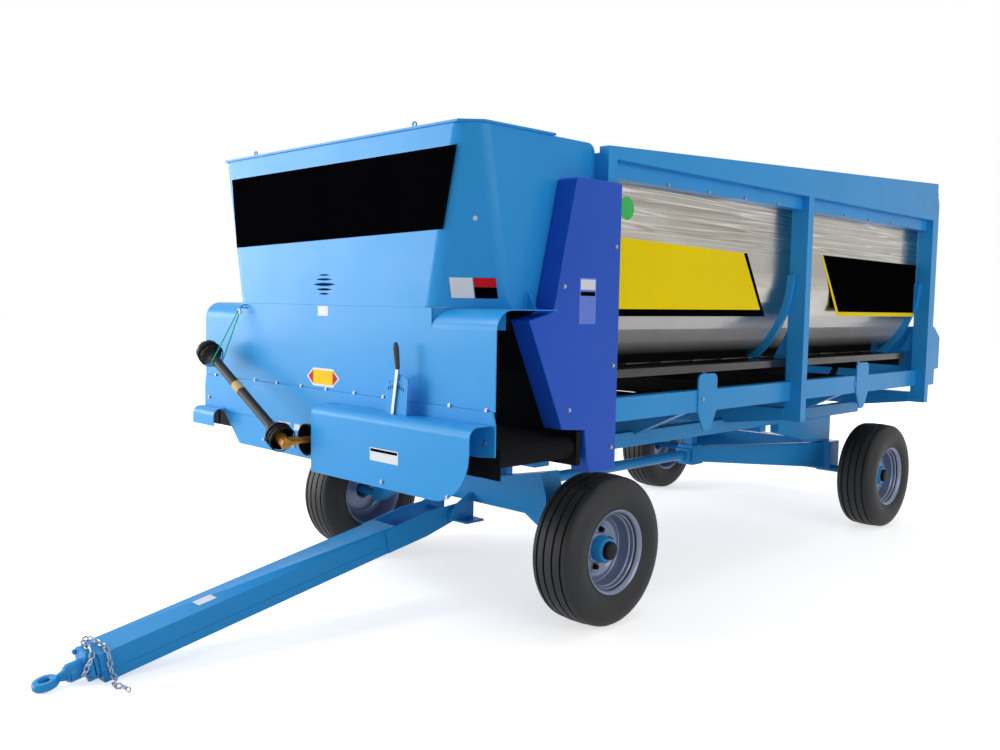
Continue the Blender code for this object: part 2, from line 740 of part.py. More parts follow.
def floor_conveyor():
    """Two chain strands round the floor with slats across them."""
    front = FLOOR_FRONT_Y - LOOP_OVERHANG
    rear = FLOOR_REAR_Y + LOOP_OVERHANG
    top = FLOOR_TOP + GAP + STRAND_THICKNESS
    bottom = FLOOR_TOP - LOOP_DROP
    outer = stadium(front, rear, bottom, top, 6)
    inner = stadium(front + STRAND_THICKNESS, rear - STRAND_THICKNESS,
                    bottom + STRAND_THICKNESS, top - STRAND_THICKNESS, 6)
    pieces = []
    for centre in (-STRAND_X, STRAND_X):
        pieces.append(ring_solid(outer, inner, "X", centre - STRAND_WIDTH / 2, centre + STRAND_WIDTH / 2))
    pitch = (rear - front - SLAT_END_SPACE * 2) / (SLAT_COUNT - 1)
    reach = SHEET_X - SLAT_INSET
    for index in range(SLAT_COUNT):
        middle = front + SLAT_END_SPACE + pitch * index
        for low in (FLOOR_TOP + GAP, bottom):
            pieces.append(block((-reach, middle - SLAT_WIDTH / 2, low),
                                (reach, middle + SLAT_WIDTH / 2, low + SLAT_HEIGHT)))
    return fuse(pieces)


def rear_wall():
    """Rear sheet with its curved outline, a folded top flange and two stiffeners."""
    curve = sheet_curve(-SHEET_WALL - WALL_FIT, FLOOR_TOP + SLAT_HEIGHT + SLAT_CLEARANCE)
    reach = SHEET_X - SHEET_WALL - WALL_FIT
    top = FLOOR_TOP + TOP_RISE_REAR - FLANGE_DROP
    outline = facing([(reach, top), *curve])
    low = COLUMN_FRONT_EDGES[-1] - RIB_THICKNESS
    pieces = [prism(outline, "Y", low, low + SHEET)]
    pieces.append(block((-reach, low + SHEET / 2, top - SHEET), (reach, low + COLUMN_WIDTH, top)))
    foot = FLOOR_TOP + SLAT_HEIGHT + SLAT_CLEARANCE * 2
    for side in (-1.0, 1.0):
        middle = side * reach / 3
        pieces.append(block((middle - RIB_THICKNESS / 2, low + SHEET / 2, foot),
                            (middle + RIB_THICKNESS / 2, low + RIB_DEPTH, top - SHEET / 2)))
    return fuse(pieces)


def tail_top():
    """Height of the tail housing's top face."""
    return FLOOR_TOP + TAIL_LENGTH


def tail_housing():
    """Cross box behind the rear columns that closes the tail of the conveyor."""
    low = LOWER_RAIL_BOTTOM + SHEET
    front = COLUMN_REAR + GAP
    top = tail_top() - GAP
    outline = [(front, low), (TAIL_REAR - TAIL_STEP, low), (TAIL_REAR - TAIL_STEP, low + LOWER_RAIL_HEIGHT),
               (TAIL_REAR, low + LOWER_RAIL_HEIGHT + SHEET), (TAIL_REAR, top - TAIL_STEP - SHEET),
               (TAIL_REAR - TAIL_STEP * 1.5, top), (front, top)]
    half = BODY_HALF_WIDTH - TAIL_INSET
    return prism(outline, "X", -half, half)


def build_front_box(wagon):
    """Front box, its rim, the hood, lip, apron, covers and guards."""
    wagon.add("front_box", front_box(), "sky_blue", "wagon")
    wagon.add("front_rim", front_rim(), "sky_blue", "wagon")
    wagon.add("hood", hood(), "sky_blue", "wagon")
    wagon.add("lip_plate", lip_plate(), "sky_blue", "wagon")
    wagon.add("apron", apron(), "sky_blue", "wagon")
    wagon.add("drive_cover", drive_cover(), "sky_blue", "wagon")
    wagon.add("end_cover", end_cover(), "sky_blue", "wagon")
    wagon.add_pair("side_cheek", side_cheek(), "black_steel", "wagon")
    wagon.add_pair("chain_guard", chain_guard(), "royal_blue", "wagon")
    wagon.add("chute_back", chute_back(), "black_steel", "wagon")


def corner_points(places):
    """Corner places of the front box as (x, y), from inward and rearward distances."""
    return [(BOX_SIDE_X - inward, FRONT_Y + rearward) for inward, rearward in places]


def box_outline(places, wall):
    """Open plan of the front box at one height, wall thickness inward."""
    (x1, y1), (x2, y2) = corner_points(places)
    outer = [(BOX_SIDE_X, BOX_REAR_Y), (x2, y2), (x1, y1)]
    inner = [(BOX_SIDE_X - wall, BOX_REAR_Y), (x2 - wall, y2 + wall * 0.4), (x1 - wall * 0.4, y1 + wall)]
    left_outer = [(-x, y) for x, y in outer[::-1]]
    left_inner = [(-x, y) for x, y in inner[::-1]]
    return outer + left_outer + left_inner[::-1] + inner[::-1]


def front_box():
    """Front wall, corner facets and side walls, with vent slots and rounded rear top corners."""
    walls = loft([lifted(box_outline(CORNER_FOOT_PLACES, SHEET), "Z", BOX_FOOT + GAP),
                  lifted(box_outline(CORNER_TOP_PLACES, SHEET), "Z", BOX_TOP)])
    cutters = [vent_slot(*slot) for slot in VENT_SLOTS]
    radius = BOX_CORNER_RADIUS
    corner = arc((BOX_REAR_Y - radius, BOX_TOP - radius), radius, 0.0, 90.0, 4)
    outside = [*corner, (BOX_REAR_Y - radius, BOX_TOP + radius), (BOX_REAR_Y + radius, BOX_TOP + radius),
               (BOX_REAR_Y + radius, BOX_TOP - radius)]
    cutters.append(prism(outside, "X", -BODY_HALF_WIDTH, BODY_HALF_WIDTH))
    return cut(walls, cutters)


def vent_slot(rise, width, height):
    """Cutter of one lens-shaped vent slot."""
    middle = BOX_FOOT + rise
    radius = (width ** 2 / 4 + height ** 2 / 4) / height
    sweep = math.degrees(math.asin(width / 2 / radius))
    upper = arc((VENT_X, middle + height / 2 - radius), radius, 90.0 - sweep, 90.0 + sweep, 6)
    lower = arc((VENT_X, middle - height / 2 + radius), radius, 270.0 - sweep, 270.0 + sweep, 6)
    return prism(upper + lower[1:-1], "Y", FRONT_Y - SHEET * 4, FRONT_Y + SHEET * 4)


def front_rim():
    """Flat strip round the top of the front box."""
    (x1, y1), (x2, y2) = corner_points(CORNER_TOP_PLACES)
    out = RIM_LIP
    rear = FRONT_Y + RIM_LENGTH
    outer = [(BOX_SIDE_X + out, rear), (x2 + out, y2 - out * 0.4), (x1 + out * 0.4, y1 - out)]
    inner = [(BOX_SIDE_X - RIM_WIDTH, rear), (x2 - RIM_WIDTH, y2 + RIM_WIDTH * 0.4),
             (x1 - RIM_WIDTH * 0.4, y1 + RIM_WIDTH)]
    outline = outer + [(-x, y) for x, y in outer[::-1]] + [(-x, y) for x, y in inner] + inner[::-1]
    return prism(outline, "Z", BOX_TOP + GAP, BOX_TOP + GAP + RIM_HEIGHT)


def hood():
    """Sheet over each discharge mouth, bent at its top front edge, the panel between and two fins."""
    bend = (FRONT_Y + HOOD_BEND, BOX_FOOT - HOOD_BEND)
    outer = arc(bend, HOOD_BEND, 180.0, 90.0, 6)
    inner = arc(bend, HOOD_BEND - SHEET, 180.0, 90.0, 6)
    profile = ([(FRONT_Y, CREASE_Z)] + outer + [(HOOD_REAR_Y, BOX_FOOT), (HOOD_REAR_Y, BOX_FOOT - SHEET)]
               + inner[::-1] + [(FRONT_Y + SHEET, CREASE_Z)])
    panel_half = corner_points(CORNER_FOOT_PLACES)[0][0]
    wide = panel_half + SHEET
    pieces = [block((-wide, FRONT_Y, CREASE_Z), (wide, FRONT_Y + SHEET, BOX_FOOT))]
    ear = prism(profile, "X", panel_half, HOOD_HALF_WIDTH)
    foot = BOX_SIDE_X + RIM_LIP
    fin_y = HOOD_REAR_Y - RIM_WIDTH
    fin = prism([(foot, BOX_FOOT - SHEET / 2), (foot + FIN_REACH, BOX_FOOT - SHEET / 2),
                 (foot, BOX_FOOT + FIN_HEIGHT)], "Y", fin_y - SHEET, fin_y)
    pieces += [ear, mirrored(ear), fin, mirrored(fin), staple()]
    return fuse(pieces)


def staple():
    """Round eye on the hood panel that takes the rope of the parked shaft."""
    low = BOX_FOOT - STAPLE_DROP
    outer = arc((FRONT_Y - STAPLE_REACH + STAPLE_RADIUS * 3, low), STAPLE_RADIUS * 3, 90.0, 270.0, 6)
    inner = arc((FRONT_Y - STAPLE_REACH + STAPLE_RADIUS * 3, low), STAPLE_RADIUS, 90.0, 270.0, 6)
    root = FRONT_Y + SHEET / 2
    outline = [(root, outer[0][1]), *outer, (root, outer[-1][1]), (root, inner[-1][1]), *inner[::-1],
               (root, inner[0][1])]
    return prism(outline, "X", STAPLE_X - STAPLE_RADIUS, STAPLE_X + STAPLE_RADIUS)


def lip_plate():
    """Stepped plate below the crease, a little wider than the hood."""
    wide = HOOD_HALF_WIDTH + LIP_STEP
    foot = CREASE_Z - LIP_HEIGHT
    outline = facing([(wide - LIP_STEP * 3, CREASE_Z - GAP), (wide, CREASE_Z - LIP_HEIGHT * 0.3),
                      (wide, foot), (wide - LIP_HEIGHT / 2, foot - LIP_STEP * 2)])
    return prism(outline, "Y", FRONT_Y - SHEET, FRONT_Y + SHEET)


def apron():
    """Tapered plate under the lip with its foot folded rearward."""
    low = FRONT_Y + SHEET + GAP
    top = CREASE_Z - APRON_TOP_DROP
    foot = top - APRON_HEIGHT
    foot_half = HOOD_HALF_WIDTH - APRON_FOOT_INSET
    outline = facing([(HOOD_HALF_WIDTH - APRON_TOP_INSET, top), (foot_half, foot)])
    plate = prism(outline, "Y", low, low + SHEET)
    fold = block((-foot_half + SHEET, low + SHEET / 4, foot),
                 (foot_half - SHEET, low + APRON_FOLD, foot + SHEET))
    return fuse([plate, fold])


def cover_shell(low_x, high_x, low_z, high_z, depth, bend):
    """Sheet bent forward from the front wall and down."""
    face = WALL_FACE - depth
    centre = (face + bend, high_z - bend)
    outer = arc(centre, bend, 180.0, 90.0, 5)
    inner = arc(centre, bend - SHEET, 180.0, 90.0, 5)
    profile = [(face, low_z)] + outer + [(WALL_FACE, high_z), (WALL_FACE, high_z - SHEET)] + inner[::-1]
    profile.append((face + SHEET, low_z))
    return prism(profile, "X", low_x, high_x)


def drive_cover():
    """Cover of the cross drive with its large round lower corner."""
    right = HOOD_HALF_WIDTH - COVER_END_INSET
    foot = COVER_TOP - COVER_HEIGHT
    shell = cover_shell(COVER_LEFT_X, right, foot, COVER_TOP, COVER_DEPTH, COVER_DEPTH / 2.7)
    radius = COVER_CORNER
    corner = arc((right - radius, foot + radius), radius, -90.0, 0.0, 7)
    outside = [*corner, (right + radius, foot + radius), (right + radius, foot - radius),
               (right - radius, foot - radius)]
    cutter = prism(outside, "Y", WALL_FACE - COVER_DEPTH * 2, WALL_FACE + COVER_DEPTH * 2)
    return cut(shell, [cutter])


def end_cover():
    """Small cover over the roller bearing at the far end."""
    top = CREASE_Z - END_COVER_DROP
    return cover_shell(-HOOD_HALF_WIDTH, -HOOD_HALF_WIDTH + END_COVER_WIDTH, top - END_COVER_HEIGHT, top,
                       END_COVER_DEPTH, END_COVER_DEPTH / 2)


def side_cheek():
    """Bearing plate inside the side wall, standing on the rear belt rail."""
    return block((BEARING_X, BEATER_Y - CHEEK_LEAD, BELT_RAIL_TOP + GAP),
                 (BEARING_X + CHEEK_PLATE, BOX_REAR_Y, FLOOR_TOP + CHEEK_RISE))


def chain_guard():
    """Sheet guard over the chain drive beside the front box."""
    foot = FLOOR_TOP - GUARD_FOOT_DROP
    top = FLOOR_TOP + GUARD_TOP_RISE
    line = [(FRONT_Y + setback, FLOOR_TOP + rise) for setback, rise in GUARD_LINE]
    body = prism([*line, (BOX_REAR_Y, foot), (BOX_REAR_Y, top)], "X", BOX_SIDE_X + GAP, GUARD_X)
    wing = block((BODY_HALF_WIDTH + GAP, BOX_REAR_Y - GUARD_LAP, foot),
                 (GUARD_X, BOX_REAR_Y + GUARD_WING, top))
    return fuse([body, wing])


def chute_back():
    """Rear wall of the chute under the floor."""
    low = FLOOR_FRONT_Y - LOOP_OVERHANG - CHUTE_SPACE
    half = BEARING_X - GAP
    return block((-half, low - SHEET, BELT_RAIL_TOP + GAP), (half, low, FLOOR_TOP - CHUTE_SPACE))


def build_cross_conveyor(wagon):
    """Belt that throws the feed out on either side, and its side rails."""
    outer = stadium(-BELT_HALF_LENGTH, BELT_HALF_LENGTH, BELT_BOTTOM, BELT_TOP, 8)
    inner = stadium(-BELT_HALF_LENGTH + BELT_WALL, BELT_HALF_LENGTH - BELT_WALL,
                    BELT_BOTTOM + BELT_WALL, BELT_TOP - BELT_WALL, 8)
    belt = ring_solid(outer, inner, "Y", BELT_FRONT_Y, BELT_REAR_Y)
    wagon.add("cross_belt", belt, "black_rubber", "wagon", True)
    rail_half = BELT_HALF_LENGTH + BELT_WALL
    for label, low in (("front", BELT_FRONT_Y - GAP - BELT_RAIL_WALL), ("rear", BELT_REAR_Y + GAP)):
        rail = block((-rail_half, low, RAIL_TOP + GAP), (rail_half, low + BELT_RAIL_WALL, BELT_RAIL_TOP))
        wagon.add("belt_rail_" + label, rail, "black_steel", "wagon")
    radius = BELT_HEIGHT / 2 - BELT_WALL - GAP
    low = BELT_FRONT_Y + GAP
    high = BELT_REAR_Y - GAP
    for label, side in (("left", 1.0), ("right", -1.0)):
        roller = turned([(low, 0.0), (low, radius), (high, radius), (high, 0.0)], "Y", 16)
        centre = (side * (BELT_HALF_LENGTH - BELT_HEIGHT / 2), 0.0, BELT_BOTTOM + BELT_HEIGHT / 2)
        wagon.add("belt_roller_" + label, moved(roller, centre), "black_steel", "wagon", True)


def build_chassis(wagon):
    """Ladder frame under the load space and the front box."""
    pieces = []
    for side in (-1.0, 1.0):
        middle = side * RAIL_X
        pieces.append(block((middle - RAIL_THICKNESS / 2, RAIL_FRONT_Y, RAIL_BOTTOM),
                            (middle + RAIL_THICKNESS / 2, RAIL_REAR_Y, RAIL_TOP)))
    reach = SHEET_X - GAP
    root = RAIL_TOP - RAIL_HEIGHT / 5
    outrigger = facing([(RAIL_X + CROSS_WIDTH, root), (reach, COLUMN_BOTTOM), (reach, CROSS_TOP)])
    for edge in COLUMN_FRONT_EDGES:
        pieces.append(prism(outrigger, "Y", edge - SHEET / 2, edge + CROSS_WIDTH))
    inner = LOWER_RAIL_FACE - LOWER_RAIL_DEPTH - GAP
    tip = LOWER_RAIL_BOTTOM + SHEET * 2
    tapered = facing([(RAIL_X + RAIL_THICKNESS / 2, root), (inner, tip),
                      (inner, tip + LOWER_RAIL_HEIGHT * 0.7), (RAIL_X + CROSS_WIDTH * 2.5, CROSS_TOP)])
    for middle in mid_bay_places():
        pieces.append(prism(tapered, "Y", middle - CROSS_WIDTH / 2, middle + CROSS_WIDTH / 2))
    wagon.add("chassis", fuse(pieces), "sky_blue", "wagon")


def wheel_profiles():
    """Tyre and wheel sections as (outward, radius)."""
    half = TYRE_WIDTH / 2
    crown = TYRE_RADIUS
    bore = (STUB_RADIUS + RUNNING_GAP) / math.cos(math.pi / WHEEL_SEGMENTS)
    side = [(half - 0.045, RIM_BORE + GAP * 2), (half - 0.018, RIM_BORE + 0.040), (half, RIM_BORE + 0.112),
            (half - 0.010, crown - 0.045), (half - 0.034, crown - 0.010), (half - 0.080, crown)]
    tyre = side + [(-u, r) for u, r in side[::-1]]
    rim = [(half - 0.017, RIM_BORE + 0.026), (half - 0.045, RIM_BORE), (-half + 0.045, RIM_BORE),
           (-half + 0.017, RIM_BORE + 0.026), (-half + 0.040, RIM_BORE - 0.008), (-0.060, RIM_BORE - 0.026),
           (-0.020, 0.130), (-0.040, 0.055), (-0.110, 0.055), (-0.110, bore), (STUB_END + 0.003, bore),
           (STUB_END + 0.003, 0.0), (0.094, 0.0), (0.090, 0.032), (0.058, 0.052), (-0.010, 0.060),
           (-0.012, 0.130), (-0.040, RIM_BORE - 0.026), (half - 0.040, RIM_BORE - 0.012)]
    return tyre, rim


def build_wheels(wagon):
    """Four wheels, each on its own empty at the axle's end."""
    tyre, rim = wheel_profiles()
    for axle, carrier in (("front", "dolly"), ("rear", "wagon")):
        for label, side in (("left", 1.0), ("right", -1.0)):
            frame = "wheel_" + axle + "_" + label
            wagon.add_frame(frame, carrier, (side * HALF_TRACK, 0.0, TYRE_RADIUS))
            tyre_mesh = turned([(side * u, r) for u, r in tyre], "X", WHEEL_SEGMENTS)
            rim_mesh = turned([(side * u, r) for u, r in rim], "X", WHEEL_SEGMENTS)
            wagon.add("tyre_" + axle + "_" + label, tyre_mesh, "black_rubber", frame, True)
            wagon.add("rim_" + axle + "_" + label, rim_mesh, "rim_silver", frame, True)


def stub(side, root):
    """Stub axle that carries one wheel, from a root inside the beam."""
    end = HALF_TRACK + STUB_END
    return rod((side * root, 0.0, TYRE_RADIUS), (side * end, 0.0, TYRE_RADIUS), STUB_RADIUS, 12)


def build_rear_gear(wagon):
    """Rear axle with its hounds, reach tube, posts and bolsters."""
    wall = REAR_AXLE_WALL
    depth = AXLE_DEPTH / 2
    pieces = [block((-REAR_AXLE_HALF, -depth, REAR_AXLE_BOTTOM - wall),
                    (REAR_AXLE_HALF, depth, REAR_AXLE_TOP + wall))]
    apex_low = REAR_AXLE_BOTTOM + (REAR_AXLE_DEPTH - HOUND_APEX_HEIGHT) * 0.8
    apex_high = apex_low + HOUND_APEX_HEIGHT
    for side in (-1.0, 1.0):
        pieces.append(stub(side, REAR_AXLE_HALF - AXLE_DEPTH))
        wide = side * (REAR_AXLE_HALF - wall)
        thin = side * HOUND_THICKNESS
        rear_section = [(wide, 0.0, REAR_AXLE_BOTTOM), (wide - thin, 0.0, REAR_AXLE_BOTTOM),
                        (wide - thin, 0.0, REAR_AXLE_TOP), (wide, 0.0, REAR_AXLE_TOP)]
        apex_section = [(thin * 0.6, HOUND_APEX_Y, apex_low), (-thin * 0.4, HOUND_APEX_Y, apex_low),
                        (-thin * 0.4, HOUND_APEX_Y, apex_high), (thin * 0.6, HOUND_APEX_Y, apex_high)]
        pieces.append(loft([rear_section, apex_section]))
    pad = RAIL_THICKNESS
    pad_top = apex_high + HOUND_THICKNESS / 4
    pieces.append(block((-pad, HOUND_APEX_Y - HOUND_THICKNESS, apex_low - HOUND_THICKNESS / 3),
                        (pad, HOUND_APEX_Y + HOUND_THICKNESS * 1.5, pad_top)))
    wagon.add("rear_axle", fuse(pieces), "sky_blue", "wagon")
    wagon.add("reach", reach_tube((apex_low + apex_high) / 2), "sky_blue", "wagon")
    post = block((-pad / 2, HOUND_APEX_Y - pad / 3, pad_top + GAP),
                 (pad / 2, HOUND_APEX_Y + pad * 0.7, RAIL_BOTTOM - GAP))
    saddle_half = RAIL_X + RAIL_THICKNESS / 2
    saddle = block((-saddle_half, HOUND_APEX_Y - pad * 0.4, RAIL_BOTTOM - HOUND_THICKNESS * 0.7),
                   (saddle_half, HOUND_APEX_Y + pad * 0.8, RAIL_BOTTOM - GAP))
    wagon.add("hound_post", fuse([post, saddle]), "sky_blue", "wagon")
    wagon.add_pair("rear_bolster", rear_bolster(), "sky_blue", "wagon")


def reach_tube(level):
    """Centre tube from the hounds forward to its yoke under the chassis rails."""
    tube_end = HOUND_APEX_Y - HOUND_THICKNESS - GAP
    bracket = block((-CLAMP_HALF, REACH_FRONT_Y, level - CLAMP_HALF),
                    (CLAMP_HALF, REACH_FRONT_Y + CLAMP_HALF, RAIL_BOTTOM - GAP))
    yoke_half = RAIL_X + RAIL_THICKNESS / 2
    yoke = block((-yoke_half, REACH_FRONT_Y - SHEET * 2, RAIL_BOTTOM - HOUND_THICKNESS * 0.7),
                 (yoke_half, REACH_FRONT_Y + HOUND_THICKNESS, RAIL_BOTTOM - GAP))
    tube = rod((0.0, REACH_FRONT_Y + CLAMP_HALF / 2, level), (0.0, tube_end, level), REACH_RADIUS, 14)
    clamp = block((-CLAMP_HALF, tube_end - HOUND_THICKNESS, level - CLAMP_HALF),
                  (CLAMP_HALF, tube_end - GAP, level + CLAMP_HALF))
    return fuse([tube, bracket, yoke, clamp])


def rear_bolster():
    """Plate box between the rear axle and the chassis rail."""
    low = REAR_AXLE_TOP + REAR_AXLE_WALL + GAP
    rear = RAIL_THICKNESS
    front = rear - BOLSTER_LENGTH
    high = RAIL_BOTTOM - GAP
    outline = [(rear, low), (rear, high), (front, high), (front, high - BOLSTER_RISE / 3),
               (front + BOLSTER_LENGTH * 0.54, low + HOUND_THICKNESS / 3),
               (front + BOLSTER_LENGTH * 0.62, low)]
    return prism(outline, "X", RAIL_X - RAIL_THICKNESS / 2, RAIL_X + RAIL_THICKNESS / 2)


def disc(low, high, radius):
    """Round plate lying flat."""
    return turned([(low, 0.0), (low, radius), (high, radius), (high, 0.0)], "Z", 24)


def build_front_gear(wagon):
    """Turntable, front axle and drawbar."""
    low = AXLE_TOP + PLATE_THICKNESS + RUNNING_GAP
    plate = moved(disc(low, low + PLATE_THICKNESS, TURNTABLE_RADIUS), (0.0, FRONT_AXLE_Y, 0.0))
    half = RAIL_X + RAIL_THICKNESS / 2
    bolster = block((-half, FRONT_AXLE_Y - BOLSTER_HALF_DEPTH, low + PLATE_THICKNESS - SHEET / 2),
                    (half, FRONT_AXLE_Y + BOLSTER_HALF_DEPTH, RAIL_BOTTOM - GAP))
    wagon.add("front_bolster", fuse([plate, bolster]), "sky_blue", "wagon")
    wagon.add("front_axle", front_axle(), "sky_blue", "dolly")


def front_axle():
    """Front axle beam that rises to its ends, pedestal, turntable plate and drawbar lugs."""
    depth = AXLE_DEPTH / 2
    shoulder = AXLE_TOP + AXLE_SHOULDER_RISE
    waist = PEDESTAL_HALF * 1.6
    beam = facing([(AXLE_HALF, AXLE_BOTTOM), (AXLE_HALF, AXLE_END_Z), (AXLE_SHOULDER_X, shoulder),
                   (waist, AXLE_WAIST)])
    pieces = [prism(beam, "Y", -depth, depth)]
    pieces.append(block((-PEDESTAL_HALF, -depth + SHEET, AXLE_WAIST - SHEET),
                        (PEDESTAL_HALF, depth - SHEET, AXLE_TOP)))
    pieces.append(disc(AXLE_TOP - SHEET, AXLE_TOP + PLATE_THICKNESS, TURNTABLE_RADIUS))
    pin_y = HINGE_Y - FRONT_AXLE_Y
    inner = BEAM_WIDTH / 2 + CHEEK_THICKNESS + SHEET
    for side in (-1.0, 1.0):
        tip = side * (AXLE_HALF + ARM_REACH)
        arm = [(side * (AXLE_HALF - ARM_REACH * 1.6), AXLE_BOTTOM - GAP), (tip, TYRE_RADIUS - ARM_HALF),
               (tip, TYRE_RADIUS + ARM_HALF), (side * (AXLE_HALF - ARM_REACH * 0.6), AXLE_END_Z - SHEET * 4)]
        pieces.append(prism(arm, "Y", -depth + SHEET * 4, depth - SHEET * 4))
        pieces.append(stub(side, AXLE_HALF + ARM_REACH * 0.6))
        lug = [(-depth + SHEET, HINGE_Z - LUG_RADIUS), (-depth + SHEET, HINGE_Z + LUG_RADIUS * 2.6),
               (pin_y, HINGE_Z + LUG_RADIUS), *arc((pin_y, HINGE_Z), LUG_RADIUS, 135.0, 270.0, 5)]
        ends = sorted((side * inner, side * (inner + LUG_THICKNESS)))
        pieces.append(prism(lug, "X", *ends))
        wing = [(-depth + SHEET, -LUG_RADIUS), (-depth + SHEET, -LUG_RADIUS + LUG_FLANGE),
                (pin_y, -LUG_RADIUS + LUG_FLANGE), (pin_y, -LUG_RADIUS)]
        flange_ends = sorted((side * (inner + SHEET), side * (inner + LUG_THICKNESS + LUG_WING)))
        pieces.append(moved(prism(wing, "X", *flange_ends), (0.0, 0.0, HINGE_Z)))
    pin_half = inner + LUG_THICKNESS / 2
    pieces.append(rod((-pin_half, pin_y, HINGE_Z), (pin_half, pin_y, HINGE_Z), HINGE_PIN_RADIUS, 12))
    return fuse(pieces)


def build_drawbar(wagon):
    """Box-section drawbar with cheeks, ledge, flange, swivel eye and safety chain, along its own -Y."""
    half = BEAM_WIDTH / 2
    tall = BEAM_HEIGHT / 2
    pieces = [block((-half, -BEAM_END, -tall), (half, -BEAM_START, tall))]
    pieces.append(block((-half - LEDGE_STEP, -BEAM_END + SHEET, -tall - GAP),
                        (half + LEDGE_STEP, -BEAM_START - LEDGE_HEIGHT, -tall + LEDGE_HEIGHT)))
    root = BEAM_START + CHEEK_OVERLAP
    web = BEAM_START / 2
    for side in (-1.0, 1.0):
        outline = [(-root, -tall + SHEET / 4), (-root, tall - SHEET / 4), (-web, tall + SHEET),
                   (CHEEK_TAIL, CHEEK_TAIL), (CHEEK_TAIL, -CHEEK_TAIL), (-web, -tall)]
        ends = sorted((side * (half - SHEET / 4), side * (half + CHEEK_THICKNESS)))
        pieces.append(prism(outline, "X", *ends))
    pieces.append(block((-half - SHEET / 4, -BEAM_START - SHEET / 4, -tall + SHEET / 4),
                        (half + SHEET / 4, -web, -tall + SHEET * 2)))
    bore = (HINGE_PIN_RADIUS + RUNNING_GAP) / math.cos(math.pi / 16)
    hole = rod((-BEAM_WIDTH, 0.0, 0.0), (BEAM_WIDTH, 0.0, 0.0), bore, 16)
    wagon.add("drawbar", cut(fuse(pieces), [hole]), "sky_blue", "drawbar_hinge")
    wagon.add("hitch_head", hitch_head(), "sky_blue", "drawbar_hinge")
    wagon.add("safety_chain", safety_chain(), "zinc", "drawbar_hinge")


def flange_outline():
    """Flange plate with cut corners, as (x, z), lower at its foot than at its top."""
    wide = FLANGE_HALF
    return facing([(wide - FLANGE_NOTCH, -FLANGE_FOOT), (wide, -FLANGE_FOOT + FLANGE_NOTCH),
                   (wide, FLANGE_TOP - FLANGE_NOTCH), (wide - FLANGE_NOTCH, FLANGE_TOP)])


def hitch_head():
    """Two flange plates with their bolts, swivel barrel, neck and eye in one forging."""
    start = BEAM_END + GAP
    plates = [start, start + FLANGE_PLATE + SHEET]
    pieces = [prism(flange_outline(), "Y", -low - FLANGE_PLATE, -low) for low in plates]
    end = plates[-1] + FLANGE_PLATE
    spacer = FLANGE_FOOT - SHEET
    pieces.append(block((-spacer, -end + SHEET, -spacer), (spacer, -start - SHEET, spacer)))
    for x, z in FLANGE_BOLTS:
        pieces.append(rod((x, -start - SHEET, z), (x, -end - BOLT_STAND, z), BOLT_RADIUS, 6))
    shoulder = -end - BARREL_LENGTH
    throat = shoulder - COLLAR_LENGTH
    tip = -EYE_DISTANCE + EYE_PROFILE[2][0]
    barrel = [(-end + SHEET, 0.0), (-end + SHEET, BARREL_RADIUS), (shoulder, BARREL_RADIUS),
              (shoulder, COLLAR_RADIUS), (throat, COLLAR_RADIUS), (throat, NECK_RADIUS),
              (tip, NECK_RADIUS * 0.6), (tip, 0.0)]
    pieces.append(turned(barrel, "Y", 14))
    eye = turned([(height, radius) for radius, height in EYE_PROFILE], "Z", 20)
    pieces.append(moved(eye, (0.0, -EYE_DISTANCE, 0.0)))
    return fuse(pieces)


def chain_points():
    """Route of the safety chain in the drawbar's frame: on the hitch, then along the ground."""
    side = BEAM_WIDTH / 2 + LEDGE_STEP + CHAIN_SPACE
    top = BEAM_HEIGHT / 2 + CHAIN_SPACE
    front = BEAM_END + GAP + FLANGE_PLATE * 2 + SHEET
    over = FLANGE_TOP + CHAIN_SPACE
    points = [(BARREL_RADIUS + CHAIN_SPACE, front + CHAIN_SPACE * 1.8, -CHAIN_SPACE),
              (FLANGE_HALF, front + CHAIN_SPACE * 1.3, CHAIN_SPACE * 1.4),
              (FLANGE_HALF + CHAIN_SPACE * 1.15, front, FLANGE_TOP * 0.70),
              (FLANGE_HALF + CHAIN_SPACE * 0.6, BEAM_END + FLANGE_PLATE, over - CHAIN_SPACE * 0.4),
              (FLANGE_HALF * 0.5, BEAM_END + FLANGE_PLATE, over + CHAIN_SPACE * 0.3),
              (-FLANGE_HALF * 0.4, BEAM_END + FLANGE_PLATE * 0.6, over + CHAIN_SPACE * 0.2),
              (-FLANGE_HALF * 0.8, BEAM_END - CHAIN_SPACE, top + CHAIN_SPACE * 1.2),
              (-FLANGE_HALF * 0.5, BEAM_END - CHAIN_SPACE * 2.8, top),
              (FLANGE_HALF * 0.3, BEAM_END - CHAIN_SPACE * 2.9, top),
              (side - CHAIN_SPACE * 2.2, BEAM_END - CHAIN_SPACE * 2.7, top + CHAIN_SPACE * 0.3),
              (side - CHAIN_SPACE * 0.6, BEAM_END - CHAIN_SPACE * 2.6, top + CHAIN_SPACE * 0.5),
              (side + CHAIN_SPACE * 0.5, BEAM_END - CHAIN_SPACE * 2.4, top - CHAIN_SPACE * 0.9),
              (side + CHAIN_SPACE * 0.2, BEAM_END - CHAIN_SPACE * 2.2, 0.0)]
    points = [Vector((x, -along, up)) for x, along, up in points]
    to_drawbar = (Matrix.Translation((0.0, 0.0, HINGE_Z)) @ Matrix.Rotation(DRAWBAR_SLOPE, 4, "X")).inverted()
    lie = LINK_WIDTH / 2 + LINK_WIRE / 2
    for x, along, rise in CHAIN_TAIL:
        points.append(to_drawbar @ Vector((side + x, -along, lie + rise)))
    return points


